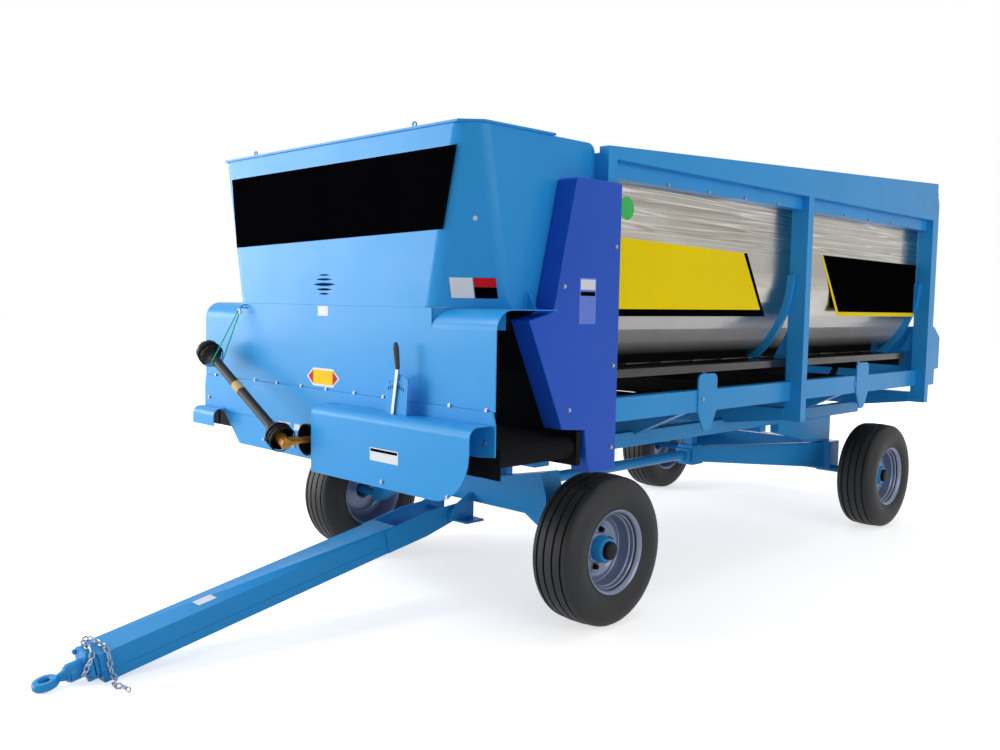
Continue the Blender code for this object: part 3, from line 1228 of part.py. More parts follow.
def walked(points, pitch):
    """Places one pitch apart along a smooth line through points, each with its direction."""
    fine = []
    count = len(points)
    for index in range(count - 1):
        before = points[max(index - 1, 0)]
        start = points[index]
        end = points[index + 1]
        after = points[min(index + 2, count - 1)]
        for step in range(12):
            t = step / 12
            bend = 2 * before - 5 * start + 4 * end - after
            twist = 3 * start - 3 * end + after - before
            fine.append(start + ((end - before) * t + bend * t ** 2 + twist * t ** 3) / 2)
    fine.append(points[-1])
    places = [fine[0]]
    for point in fine:
        while (point - places[-1]).length >= pitch:
            places.append(places[-1] + (point - places[-1]).normalized() * pitch)
    return places


def safety_chain():
    """Welded links along the route, each turned a quarter from the last and fused where they meet."""
    pitch = LINK_LENGTH - LINK_WIRE * 4 + LINK_OVERLAP
    places = walked(chain_points(), pitch)
    bow = LINK_WIDTH / 2 - LINK_WIRE
    straight = LINK_LENGTH / 2 - LINK_WIRE - bow
    line = arc((straight, 0.0), bow, -90.0, 90.0, 2) + arc((-straight, 0.0), bow, 90.0, 270.0, 2)
    links = []
    side = Vector((0.0, 0.0, 1.0))
    for index, (start, end) in enumerate(zip(places, places[1:])):
        along = (end - start).normalized()
        side = (side - along * side.dot(along)).normalized()
        across = side if index % 2 else along.cross(side)
        links.append(link_ring(line, (start + end) / 2, along, across))
    return fuse(links)


def link_ring(line, centre, along, across):
    """One link: a four-sided wire swept round a flat loop."""
    normal = along.cross(across)
    bm = bmesh.new()
    rings = []
    count = len(line)
    for index in range(count):
        ahead = Vector(line[(index + 1) % count]) - Vector(line[index - 1])
        outward = Vector((ahead.y, -ahead.x)).normalized()
        ring = []
        for step in range(4):
            angle = math.pi * step / 2
            shift = LINK_WIRE * math.cos(angle)
            x = line[index][0] + outward.x * shift
            y = line[index][1] + outward.y * shift
            ring.append(bm.verts.new(centre + along * x + across * y + normal * LINK_WIRE * math.sin(angle)))
        rings.append(ring)
    for index in range(count):
        following = rings[(index + 1) % count]
        for step in range(4):
            after = (step + 1) % 4
            bm.faces.new((rings[index][step], rings[index][after], following[after], following[step]))
    return finish_mesh(bm, "link")


def build_beaters(wagon):
    """Two toothed rotors across the front box."""
    for index, rise in enumerate(BEATER_RISES):
        label = ("lower", "upper")[index]
        wagon.add_frame("beater_axis_" + label, "wagon", (0.0, BEATER_Y, FLOOR_TOP + rise))
        end = BEARING_X - RUNNING_GAP
        tube = end - BEATER_SHAFT
        pieces = [rod((-end, 0.0, 0.0), (end, 0.0, 0.0), BEATER_SHAFT, 10),
                  rod((-tube, 0.0, 0.0), (tube, 0.0, 0.0), BEATER_TUBE, 10)]
        for number in range(BEATER_BLADES):
            along = (number - (BEATER_BLADES - 1) / 2) * BLADE_PITCH
            blade = block((-BLADE_HALF_WIDTH, -BLADE_HALF_THICKNESS, -BEATER_REACH),
                          (BLADE_HALF_WIDTH, BLADE_HALF_THICKNESS, BEATER_REACH))
            blade.transform(Matrix.Rotation(BLADE_FIRST_TURN + BLADE_TURN * number, 4, "X"))
            pieces.append(moved(blade, (along, 0.0, 0.0)))
        wagon.add("beater_" + label, fuse(pieces), "sky_blue", "beater_axis_" + label)


def build_controls(wagon):
    """Gate lever with its quadrant, the input shield and the parked drive shaft with its rope."""
    face = WALL_FACE - QUADRANT_SETOFF
    foot = COVER_TOP + GAP
    half = QUADRANT_HALF_DEGREES
    fan = arc((QUADRANT_X, foot), QUADRANT_RADIUS, 90.0 - half, 90.0 + half, 6)
    reach = QUADRANT_RADIUS * 0.4
    plate = prism([*fan, (QUADRANT_X - reach, foot), (QUADRANT_X + reach, foot)], "Y", face, face + SHEET)
    bracket = block((QUADRANT_X - reach, face + SHEET / 2, foot),
                    (QUADRANT_X + reach, WALL_FACE, foot + SHEET))
    slot_line = arc((QUADRANT_X, foot), QUADRANT_RADIUS * 0.84, 90.0 - half * 0.7, 90.0 + half * 0.7, 5)
    slot_back = arc((QUADRANT_X, foot), QUADRANT_RADIUS * 0.78, 90.0 + half * 0.7, 90.0 - half * 0.7, 5)
    slot = prism(slot_line + slot_back, "Y", face - SHEET, face + SHEET * 2)
    wagon.add("lever_quadrant", cut(fuse([plate, bracket]), [slot]), "zinc", "wagon")
    start = Vector((QUADRANT_X - LEVER_LEAN / 2, face - LEVER_THICKNESS / 2 - GAP, foot + GAP * 3))
    end = start + Vector((LEVER_LEAN, 0.0, LEVER_LENGTH))
    bar = [(start.x - LEVER_HALF, start.z), (start.x + LEVER_HALF, start.z), (end.x + LEVER_HALF, end.z),
           (end.x - LEVER_HALF, end.z)]
    lever = prism(bar, "Y", start.y - LEVER_THICKNESS / 2, start.y + LEVER_THICKNESS / 2)
    wagon.add("gate_lever", lever, "zinc", "wagon")
    tip = end + Vector((GRIP_LEAN, 0.0, GRIP_LENGTH))
    knob = [(0.0, 0.0), (0.0, GRIP_FOOT_RADIUS), (GRIP_LENGTH * 0.8, GRIP_RADIUS),
            (GRIP_LENGTH, GRIP_RADIUS / 2), (GRIP_LENGTH, 0.0)]
    grip = aimed(turned(knob, "Z", 10), end + Vector((0.0, 0.0, GAP * 6)), tip - end)
    wagon.add("lever_grip", grip, "grey_grip", "wagon", True)
    build_drive_shaft(wagon)


def build_drive_shaft(wagon):
    """Input shield, shaft with its two yokes, its guard and the rope that holds it up."""
    level = FLOOR_TOP - INPUT_DROP
    radius = SHIELD_RADIUS
    back = WALL_FACE
    shield = turned([(back, 0.0), (back, radius * 0.8), (back - SHIELD_DEPTH, radius),
                     (back - SHIELD_DEPTH, radius - SHEET), (back - SHEET * 2, radius * 0.7),
                     (back - SHEET * 2, 0.0)], "Y", 16)
    wagon.add("input_shield", moved(shield, (INPUT_X, 0.0, level)), "black_plastic", "wagon", True)
    run = SHAFT_FAR - SHAFT_NEAR
    length = run.length
    hub = YOKE_RADIUS
    stub_start = Vector((INPUT_X, back - SHEET * 2 - GAP, level))
    pieces = [rod(SHAFT_NEAR, SHAFT_FAR, SHAFT_RADIUS, 10), rod(stub_start, SHAFT_NEAR, SHAFT_RADIUS, 10)]
    yokes = ((SHAFT_NEAR, run, stub_start - SHAFT_NEAR), (SHAFT_FAR, -run, FAR_YOKE_RUN))
    for centre, inward, outward in yokes:
        inward = inward.normalized()
        outward = outward.normalized()
        pieces.append(rod(centre - inward * hub, centre + inward * hub * 1.6, hub, 8))
        pieces.append(rod(centre - outward * hub * 0.4, centre + outward * hub * 2.6, hub * 0.85, 8))
    wagon.add("drive_shaft", fuse(pieces), "gold_zinc", "wagon", True)
    bore = (SHAFT_RADIUS + RUNNING_GAP) / math.cos(math.pi / SHAFT_SIDES)
    outer = []
    for share, wide in BELL_STEPS:
        outer.append((BELL_START + BELL_LENGTH * share, BELL_RADIUS * wide))
    cavity = [(BELL_START + BELL_LENGTH * 0.45, bore),
              (BELL_START + BELL_LENGTH * 0.42, BELL_RADIUS - SHEET * 3), (BELL_START, BELL_RADIUS - SHEET)]
    half_profile = cavity + outer + [(BELL_START + BELL_LENGTH, GUARD_TUBE_RADIUS)]
    profile = half_profile + [(length - along, wide) for along, wide in half_profile[::-1]]
    guard = aimed(turned(profile, "Z", SHAFT_SIDES), SHAFT_NEAR, run)
    wagon.add("shaft_guard", guard, "black_plastic", "wagon", True)
    wagon.add("tie_rope", tube(rope_points(), ROPE_RADIUS, 6), "green_rope", "wagon", smooth=True)


def rope_points():
    """Rope from the staple down in front of the shaft's guard, under it and back up."""
    run = SHAFT_FAR - SHAFT_NEAR
    axis = run.normalized()
    centre = SHAFT_NEAR + axis * (run.length * ROPE_STATION)
    front = Vector((0.0, -1.0, 0.0))
    front = (front - axis * front.dot(axis)).normalized()
    down = axis.cross(front)
    down = down if down.z < 0.0 else -down
    wrap = GUARD_TUBE_RADIUS + ROPE_RADIUS + GAP * 3
    eye = Vector((STAPLE_X, FRONT_Y - STAPLE_REACH - ROPE_RADIUS - GAP * 3, BOX_FOOT - STAPLE_DROP))
    loop = []
    for step in range(10):
        angle = ROPE_LEAVE + (math.pi - ROPE_LEAVE) * step / 9
        loop.append(centre + front * math.cos(angle) * wrap + down * math.sin(angle) * wrap)
    first = [eye + (loop[0] - eye) * share for share in (0.0, 0.25, 0.5, 0.75)]
    rear_eye = eye + Vector((ROPE_RADIUS * 3, 0.0, -ROPE_RADIUS))
    last = [loop[-1] + (rear_eye - loop[-1]) * share for share in (0.25, 0.5, 0.75, 1.0)]
    return first + loop + last


def main():
    clear_scene()
    wagon = Assembly(make_materials())
    wagon.add_frame("wagon", None, (0.0, WAGON_SHIFT, 0.0))
    wagon.add_frame("dolly", "wagon", (0.0, FRONT_AXLE_Y, 0.0))
    wagon.add_frame("drawbar_hinge", "dolly", (0.0, HINGE_Y - FRONT_AXLE_Y, HINGE_Z), DRAWBAR_SLOPE)
    build_chassis(wagon)
    build_load_space(wagon)
    build_front_box(wagon)
    build_cross_conveyor(wagon)
    build_beaters(wagon)
    build_controls(wagon)
    build_rear_gear(wagon)
    build_front_gear(wagon)
    build_drawbar(wagon)
    build_wheels(wagon)


main()
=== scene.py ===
"""Looks of a towed feed distributor wagon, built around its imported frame.

The places below are in metres in the wagon's own frame: X to its left side, Y rearward from the
middle of the rear axle, Z up from the ground. The function at() moves them into the frame's row.
"""
import json
import math

import bmesh
import bpy
from mathutils import Matrix, Vector
from mathutils.bvhtree import BVHTree


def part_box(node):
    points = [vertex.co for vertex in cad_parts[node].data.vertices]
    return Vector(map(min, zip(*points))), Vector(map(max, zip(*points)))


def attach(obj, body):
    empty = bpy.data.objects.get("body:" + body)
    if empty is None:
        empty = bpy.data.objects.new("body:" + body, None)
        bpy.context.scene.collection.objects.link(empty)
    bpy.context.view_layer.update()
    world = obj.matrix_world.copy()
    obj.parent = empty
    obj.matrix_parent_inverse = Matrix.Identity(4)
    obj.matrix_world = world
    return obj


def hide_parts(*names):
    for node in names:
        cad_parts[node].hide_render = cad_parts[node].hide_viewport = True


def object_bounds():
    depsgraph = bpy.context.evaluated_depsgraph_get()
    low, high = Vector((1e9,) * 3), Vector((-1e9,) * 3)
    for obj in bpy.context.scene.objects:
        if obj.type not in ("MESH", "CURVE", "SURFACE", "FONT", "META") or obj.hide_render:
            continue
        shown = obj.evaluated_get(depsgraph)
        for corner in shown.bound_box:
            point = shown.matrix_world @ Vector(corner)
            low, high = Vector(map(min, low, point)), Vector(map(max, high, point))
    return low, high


bl_info = {
    "name": "Feed distributor wagon",
    "version": (1, 1, 0),
    "blender": (4, 5, 0),
    "location": "3D View > Sidebar > Feed wagon",
    "description": "Paint, tyres, decals, fasteners and studio of a towed feed distributor wagon",
    "category": "Object",
}

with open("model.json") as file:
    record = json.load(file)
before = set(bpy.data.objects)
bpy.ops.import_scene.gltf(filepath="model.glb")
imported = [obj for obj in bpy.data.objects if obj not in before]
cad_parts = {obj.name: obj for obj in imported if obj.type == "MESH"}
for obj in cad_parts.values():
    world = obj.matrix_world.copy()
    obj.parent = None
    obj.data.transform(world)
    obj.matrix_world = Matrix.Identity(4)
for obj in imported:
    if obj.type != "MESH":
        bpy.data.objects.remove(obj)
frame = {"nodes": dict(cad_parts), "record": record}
CAD_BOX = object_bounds()

NODES = frame["nodes"]
BEHAVIOUR = frame["record"]["behaviour"]
JOINT_PLACES = {joint["name"]: Vector(joint["pos_m"]) for joint in BEHAVIOUR["joints"]}
SHIFT = JOINT_PLACES["wheel_rear_left_spin"].y
BOX_LOW, BOX_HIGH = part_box("front_box")
FRONT_FACE = BOX_LOW.y - SHIFT
SHEET_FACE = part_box("side_sheet_front_left")[1].x
CORNERS = ("front_left", "front_right", "rear_left", "rear_right")
SIDES = (("left", 1.0), ("right", -1.0))
WHITE = (1.0, 1.0, 1.0, 1.0)
FORWARD = Vector((0.0, -1.0, 0.0))


def at(x, y, z):
    """Point of the wagon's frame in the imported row's frame."""
    return Vector((x, y + SHIFT, z))


def linear(red, green, blue):
    """Colour given as 0-255 screen values, as linear values with full alpha."""
    values = []
    for part in (red, green, blue):
        part /= 255.0
        values.append(part / 12.92 if part <= 0.04045 else ((part + 0.055) / 1.055) ** 2.4)
    return (*values, 1.0)


def shade(colour, factor):
    """Colour made lighter or darker."""
    return (*[min(1.0, part * factor) for part in colour[:3]], 1.0)


def colour_property(name, description, red, green, blue):
    """Colour setting with its default in screen values."""
    return bpy.props.FloatVectorProperty(name=name, description=description, subtype="COLOR", size=4,
                                         min=0.0, max=1.0, default=linear(red, green, blue))


def length_property(name, description, default):
    """Length setting in metres."""
    return bpy.props.FloatProperty(name=name, description=description, default=default, unit="LENGTH",
                                   precision=4)


class WagonColours(bpy.types.PropertyGroup):
    """Colours of the wagon's finishes."""
    sky: colour_property("Sky enamel", "Light blue enamel of body and frame", 42, 152, 222)
    royal: colour_property("Royal enamel", "Dark blue enamel of the chain guards", 28, 84, 196)
    decal_yellow: colour_property("Decal yellow", "Yellow of the film decals", 252, 222, 4)
    decal_black: colour_property("Decal black", "Black of the film decals", 5, 5, 7)
    rim: colour_property("Rim silver", "Silver paint of the rims", 126, 138, 164)
    rubber: colour_property("Rubber", "Black of the tyres and the belt", 17, 18, 21)


class WagonSizes(bpy.types.PropertyGroup):
    """Sizes of the wagon's fittings."""
    bolt_width: length_property("Bolt width", "Width across the flats of the body bolts", 0.016)
    bolt_height: length_property("Bolt height", "Height of a body bolt's head", 0.0065)
    stud_width: length_property("Wheel nut width", "Width across the flats of the wheel nuts", 0.024)
    film: length_property("Film", "Thickness of the decals", 0.0006)
    groove_depth: length_property("Tread groove depth", "Depth of the grooves round the tyres", 0.01)
    box_bend: length_property("Front box bend", "Set-back of the bends in the front box's sheet", 0.042)


def add_node(tree, kind, *placed, **named):
    """Node with its settings, then its inputs by place or by name: each a value or a socket to join."""
    node = tree.nodes.new(kind)
    for key in [key for key in named if key not in node.inputs]:
        setattr(node, key, named.pop(key))
    for key, value in (*enumerate(placed), *named.items()):
        if isinstance(value, bpy.types.NodeSocket):
            tree.links.new(value, node.inputs[key])
        else:
            node.inputs[key].default_value = value
    return node


def worked(tree, operation, *values):
    """Result of a sum on values and sockets."""
    return add_node(tree, "ShaderNodeMath", *values, operation=operation).outputs[0]


def ranged(tree, value, low, high, first=0.0, last=1.0, kind="LINEAR"):
    """Value taken from the range low to high into the range first to last, and kept within it."""
    node = add_node(tree, "ShaderNodeMapRange", value, low, high, first, last, interpolation_type=kind)
    return node.outputs["Result"]


def new_group(name, result, **inputs):
    """Shader node group of plain numbers: the group, its inputs' sockets and the socket of its result."""
    group = bpy.data.node_groups.new(name, "ShaderNodeTree")
    for label, value in inputs.items():
        socket = group.interface.new_socket(name=label, in_out="INPUT", socket_type="NodeSocketFloat")
        socket.default_value = value
    group.interface.new_socket(name=result, in_out="OUTPUT", socket_type="NodeSocketFloat")
    start = group.nodes.new("NodeGroupInput").outputs
    return group, start, group.nodes.new("NodeGroupOutput").inputs[result]


def object_place(tree):
    """Sockets of the X, Y and Z of Object coordinates."""
    place = add_node(tree, "ShaderNodeTexCoord").outputs["Object"]
    return add_node(tree, "ShaderNodeSeparateXYZ", place).outputs


def group_noise(group, start, **values):
    """Noise at the group's scale, on Object coordinates whose height is stretched by the group's input."""
    x, y, z = object_place(group)
    stretched = add_node(group, "ShaderNodeCombineXYZ", x, y, worked(group, "MULTIPLY", z, start["Stretch"]))
    noise = add_node(group, "ShaderNodeTexNoise", Vector=stretched.outputs[0], Scale=start["Scale"], **values)
    return noise.outputs["Fac"]


def wave_group():
    """Slow waves of rolled or welded sheet."""
    group, start, end = new_group("Sheet waves", "Height", Scale=1.0, Stretch=1.0)
    group.links.new(group_noise(group, start, Detail=1.0, Roughness=0.4), end)
    return group


def mottle_group():
    """Mottling of a surface: a value between two levels."""
    group, start, end = new_group("Mottle", "Value", Scale=40.0, Stretch=1.0, Low=0.0, High=1.0)
    noise = group_noise(group, start, Detail=4.0, Roughness=0.55)
    group.links.new(ranged(group, noise, 0.3, 0.7, start["Low"], start["High"]), end)
    return group


def rise_group():
    """Mask that climbs from a low height to a high one."""
    group, start, end = new_group("Rise", "Mask", From=0.0, To=1.0)
    height = object_place(group)["Z"]
    group.links.new(ranged(group, height, start["From"], start["To"]), end)
    return group


def band_group():
    """Thin wavy bands for the painted reflections of a bright sheet: a mask that is high inside a band."""
    group, start, end = new_group("Sheet bands", "Mask", Scale=1.0, Stretch=10.0, Width=0.03)
    noise = group_noise(group, start, Detail=1.5, Roughness=0.45, Distortion=0.25)
    distance = worked(group, "ABSOLUTE", worked(group, "SUBTRACT", noise, 0.5))
    group.links.new(ranged(group, distance, 0.0, start["Width"], 1.0, 0.0), end)
    return group


GROUP_MAKERS = {"waves": wave_group, "mottle": mottle_group, "rise": rise_group, "bands": band_group}
GROUPS = {}


def effect(tree, name, **values):
    """Result of a shared group that is set into a material with its own values."""
    if name not in GROUPS:
        GROUPS[name] = GROUP_MAKERS[name]()
    node = tree.nodes.new("ShaderNodeGroup")
    node.node_tree = GROUPS[name]
    for key, value in values.items():
        node.inputs[key].default_value = value
    return node.outputs[0]


def new_material(name, roughness=0.5, metallic=0.0, coat=0.0, specular=0.5):
    """Material with its shader's plain values set."""
    material = bpy.data.materials.new(name)
    material.use_nodes = True
    shader = material.node_tree.nodes["Principled BSDF"]
    for key, value in (("Roughness", roughness), ("Metallic", metallic), ("Coat Weight", coat),
                       ("Coat Roughness", 0.08), ("Specular IOR Level", specular)):
        shader.inputs[key].default_value = value
    return material, material.node_tree, shader


def mixed(tree, mask, first, second):
    """Colour that goes from first to second with a mask. Either may be a socket or plain values."""
    node = add_node(tree, "ShaderNodeMix", data_type="RGBA", Factor=mask, A=first, B=second)
    return node.outputs["Result"]


def joined_to(tree, shader, **sockets):
    """Joins sockets to a shader's inputs, whose names are given with _ for a space."""
    for key, socket in sockets.items():
        tree.links.new(socket, shader.inputs[key.replace("_", " ")])


def bumped(tree, height, distance, strength):
    """Normal of a bump from a height."""
    node = add_node(tree, "ShaderNodeBump", Height=height, Strength=strength, Distance=distance)
    return node.outputs["Normal"]


def enamel(name, colour, clouds):
    """Sprayed enamel: slight colour clouds, gentle waves of the sheet, dust low down and a soft gloss."""
    material, tree, shader = new_material(name, roughness=0.32, coat=0.03, specular=0.18)
    cloud = effect(tree, "mottle", Scale=1.4)
    base = mixed(tree, cloud, shade(colour, 1.0 - clouds), shade(colour, 1.0 + clouds))
    dusty = mixed(tree, effect(tree, "rise", From=0.0, To=0.5), shade(colour, 0.9), base)
    joined_to(tree, shader, Base_Color=dusty,
              Roughness=effect(tree, "mottle", Scale=5.0, Low=0.28, High=0.38),
              Normal=bumped(tree, effect(tree, "waves", Scale=2.2), 0.008, 0.35))
    return material


def rolled_stainless():
    """Bright rolled sheet coloured with painted reflections: pale above with level wavy bands, grey where it
    bends under to the floor, painted shade at its foot.
    """
    material, tree, shader = new_material("Rolled stainless", roughness=0.2, metallic=1.0)
    cloud = effect(tree, "mottle", Scale=1.1, Stretch=2.5)
    # Masks by height: high is where the painted reflection bands lie, bend is where the painted reflection of
    # the surroundings gives way to the painted reflection of the floor, and foot is where painted shade
    # darkens the sheet
    high = effect(tree, "rise", From=2.04, To=2.16)
    bend = effect(tree, "rise", From=1.62, To=1.7)
    foot = effect(tree, "rise", From=1.44, To=1.52)
    # Painted reflection of the bright surroundings on the upright sheet, mottled
    painted_upper_reflection = mixed(tree, cloud, linear(150, 146, 140), linear(178, 175, 168))
    # Scale, stretch, width and colour of the pale bands of painted highlight, then of the dark bands of
    # painted reflection
    for scale, stretch, width, colour in ((0.62, 52.0, 0.045, (208, 205, 199)),
                                          (0.48, 70.0, 0.04, (142, 133, 122))):
        band = effect(tree, "bands", Scale=scale, Stretch=stretch, Width=width)
        painted_upper_reflection = mixed(tree, worked(tree, "MULTIPLY", high, band), painted_upper_reflection, linear(*colour))
    # Painted reflection of the floor where the sheet bends under, made less metallic there
    under = mixed(tree, cloud, linear(176, 174, 174), linear(194, 192, 192))
    # Painted shade, near black, at the sheet's foot
    painted_floor_reflection_and_shade = mixed(tree, foot, linear(36, 36, 36), under)
    joined_to(tree, shader, Base_Color=mixed(tree, bend, painted_floor_reflection_and_shade, painted_upper_reflection),
              Metallic=ranged(tree, bend, 0.0, 1.0, 0.3, 1.0),
              Roughness=effect(tree, "mottle", Scale=4.0, Low=0.12, High=0.24),
              Normal=bumped(tree, effect(tree, "waves", Scale=1.8, Stretch=6.0), 0.012, 0.3))
    return material


def tyre_rubber(colour):
    """Vulcanised rubber with a dull bloom."""
    material, tree, shader = new_material("Tyre rubber", roughness=0.58, specular=0.4)
    base = mixed(tree, effect(tree, "mottle", Scale=11.0), shade(colour, 0.75), shade(colour, 1.35))
    fine = effect(tree, "mottle", Scale=240.0)
    joined_to(tree, shader, Base_Color=base, Normal=bumped(tree, fine, 0.0006, 0.5))
    return material


def plain_finish(name, colour, roughness, metallic, coat, grain, depth, spread, specular):
    """Finish with fine mottling in its colour and a faint grain."""
    material, tree, shader = new_material(name, roughness, metallic, coat, specular)
    cloud = effect(tree, "mottle", Scale=grain * 0.3)
    base = mixed(tree, cloud, shade(colour, 1.0 - spread), shade(colour, 1.0 + spread))
    fine = effect(tree, "mottle", Scale=grain)
    joined_to(tree, shader, Base_Color=base, Normal=bumped(tree, fine, depth, 0.5))
    return material


def setting(name):
    """Linear values of a colour setting."""
    return tuple(getattr(bpy.context.scene.wagon_colours, name))


SPECIAL_FINISHES = {
    "sky": lambda: enamel("Sky blue enamel", setting("sky"), 0.04),
    "royal": lambda: enamel("Royal blue enamel", setting("royal"), 0.06),
    "stainless": rolled_stainless,
    "tyre": lambda: tyre_rubber(setting("rubber")),
    "belt": lambda: plain_finish("Belt rubber", shade(setting("rubber"), 0.6), 0.8, 0.0, 0.0, 90.0, 0.001,
                                 0.15, 0.1),
}

# Full name, screen colour or colour setting, then roughness, metallic, coat, grain's scale and depth, spread
# of the colour, and gloss
PLAIN_FINISHES = {
    "rim": ("Silver rim paint", "rim", 0.34, 0.35, 0.3, 30.0, 0.0003, 0.08, 0.3),
    "yellow": ("Yellow film", "decal_yellow", 0.5, 0.0, 0.0, 8.0, 0.0002, 0.03, 0.08),
    "film": ("Black film", "decal_black", 0.55, 0.0, 0.0, 8.0, 0.0002, 0.1, 0.0),
    "black": ("Satin black steel", (7, 7, 9), 0.62, 0.0, 0.0, 50.0, 0.0004, 0.2, 0.08),
    "plastic": ("Moulded black plastic", (13, 14, 18), 0.42, 0.0, 0.0, 180.0, 0.0004, 0.15, 0.15),
    "zinc": ("Zinc plate", (150, 160, 176), 0.34, 0.8, 0.0, 120.0, 0.0002, 0.2, 0.3),
    "gold": ("Yellow passivated zinc", (196, 134, 60), 0.38, 0.6, 0.0, 70.0, 0.0004, 0.3, 0.3),
    "white": ("White film", (226, 230, 236), 0.5, 0.0, 0.0, 20.0, 0.0002, 0.04, 0.1),
    "red": ("Red film", (196, 20, 32), 0.5, 0.0, 0.0, 20.0, 0.0002, 0.05, 0.1),
    "orange": ("Amber film", (252, 200, 6), 0.5, 0.0, 0.0, 20.0, 0.0002, 0.05, 0.1),
    "green": ("Green film", (70, 196, 100), 0.5, 0.0, 0.0, 20.0, 0.0002, 0.05, 0.1),
    "pale_blue": ("Pale label", (110, 136, 224), 0.5, 0.0, 0.0, 20.0, 0.0002, 0.05, 0.1),
    "tan": ("Tan label", (196, 170, 116), 0.5, 0.0, 0.0, 30.0, 0.0002, 0.1, 0.1),
    "rope": ("Green rope", (20, 196, 150), 0.85, 0.0, 0.0, 400.0, 0.001, 0.35, 0.1),
    "grip": ("Grey grip", (62, 66, 72), 0.55, 0.0, 0.0, 200.0, 0.0004, 0.1, 0.3),
}
MATERIALS = {}


def finish(name):
    """Material by its short name, made when it is first asked for."""
    if name in MATERIALS:
        return MATERIALS[name]
    if name in SPECIAL_FINISHES:
        MATERIALS[name] = SPECIAL_FINISHES[name]()
    else:
        title, colour, *values = PLAIN_FINISHES[name]
        colour = setting(colour) if isinstance(colour, str) else linear(*colour)
        MATERIALS[name] = plain_finish(title, colour, *values)
    return MATERIALS[name]


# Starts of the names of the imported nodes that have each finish. All others have the sky enamel.
NODE_FINISHES = {
    "stainless": ("side_sheet", "floor_deck", "rear_wall"),
    "black": ("floor_conveyor", "side_cheek", "chute_back", "belt_r"),
    "royal": ("chain_guard",), "belt": ("cross_belt",), "grip": ("lever_grip",), "gold": ("drive_shaft",),
    "plastic": ("input_shield", "shaft_guard"), "zinc": ("gate_lever", "safety_chain"), "rope": ("tie_rope",),
    "tyre": ("tyre",), "rim": ("rim",),
}


def finish_of(node):
    """Short name of a node's finish."""
    for name, starts in NODE_FINISHES.items():
        if node.startswith(starts):
            return name
    return "sky"


def body_of(node):
    """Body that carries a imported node."""
    for body, carried in BEHAVIOUR["bodies"].items():
        if node in carried:
            return body
    raise RuntimeError("No body carries " + node)


def linked(name, data):
    """Object in the scene for a mesh, a lamp or a camera."""
    item = bpy.data.objects.new(name, data)
    bpy.context.scene.collection.objects.link(item)
    return item


def smoothed(mesh, angle):
    """Shades a mesh smooth, but for edges sharper than an angle in degrees."""
    mesh.shade_smooth()
    mesh.set_sharp_from_angle(angle=math.radians(angle))


def mesh_piece(name, mesh, material, body="root", smooth_angle=None):
    """Shown piece from a finished mesh, riding on a body."""
    mesh.name = name
    mesh.materials.clear()
    mesh.materials.append(finish(material))
    if smooth_angle is not None:
        smoothed(mesh, smooth_angle)
    piece = linked(name, mesh)
    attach(piece, body)
    return piece


def mesh_of(bm):
    """Mesh of a bmesh, which is freed."""
    mesh = bpy.data.meshes.new("form")
    bm.to_mesh(mesh)
    bm.free()
    return mesh


def closed_mesh(bm):
    """Mesh of a bmesh with its faces turned outward."""
    bmesh.ops.recalc_face_normals(bm, faces=bm.faces[:])
    return mesh_of(bm)


def joined(meshes):
    """One mesh from several, which are removed."""
    bm = bmesh.new()
    for mesh in meshes:
        bm.from_mesh(mesh)
        bpy.data.meshes.remove(mesh)
    return mesh_of(bm)


def evaluated(mesh, kind, **settings):
    """Mesh after one modifier, whose inputs may be given by their identifiers."""
    item = linked("worked", mesh)
    modifier = item.modifiers.new("step", kind)
    for key, value in settings.items():
        if key.startswith("Socket_"):
            modifier[key] = value
        else:
            setattr(modifier, key, value)
    graph = bpy.context.evaluated_depsgraph_get()
    result = bpy.data.meshes.new_from_object(item.evaluated_get(graph))
    bpy.data.objects.remove(item)
    bpy.data.meshes.remove(mesh)
    return result


TREES = {}


def seat(node, start, way):
    """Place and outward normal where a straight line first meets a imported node."""
    if node not in TREES:
        mesh = NODES[node].data
        mesh.calc_loop_triangles()
        TREES[node] = BVHTree.FromPolygons([vertex.co for vertex in mesh.vertices],
                                           [tuple(triangle.vertices) for triangle in mesh.loop_triangles])
    place, normal, _, _ = TREES[node].ray_cast(start, way)
    if place is None:
        raise RuntimeError("No part of " + node + " is met from " + str(tuple(start)))
    if normal.dot(way) > 0.0:
        normal = -normal
    return place, normal


# How far from the wagon's middle a line to a seat starts
REACH = 9.0


def on_face(node, face, a, b):
    """Seat on a node seen from one side: (x, z) on the front, (y, z) on a flank, (x, y) on the top."""
    starts = {
        "front": (at(a, -REACH, b), -FORWARD),
        "left": (at(REACH, a, b), Vector((-1.0, 0.0, 0.0))),
        "right": (at(-REACH, a, b), Vector((1.0, 0.0, 0.0))),
        "top": (at(a, b, REACH), Vector((0.0, 0.0, -1.0))),
    }
    return seat(node, *starts[face])


# Gap that keeps a thin piece off the face that it lies on
UNDER = 0.0002


def plate(corners, normal, thickness, gap=UNDER):
    """Thin plate on a flat outline of points, raised along a normal."""
    normal = Vector(normal).normalized()
    bm = bmesh.new()
    low = [bm.verts.new(Vector(corner) + normal * gap) for corner in corners]
    high = [bm.verts.new(Vector(corner) + normal * (gap + thickness)) for corner in corners]
    bm.faces.new(low)
    bm.faces.new(high)
    for i in range(len(corners)):
        j = (i + 1) % len(corners)
        bm.faces.new((low[i], low[j], high[j], high[i]))
    return closed_mesh(bm)


def label(node, face, outline, thickness, gap=UNDER):
    """Plate over an outline of face places, seated on a node."""
    seats = [on_face(node, face, a, b) for a, b in outline]
    normal = sum((normal for _, normal in seats), Vector()).normalized()
    return plate([place for place, _ in seats], normal, thickness, gap)


def oblong(left, right, low, high):
    """Outline of an upright rectangle."""
    return ((left, low), (right, low), (right, high), (left, high))


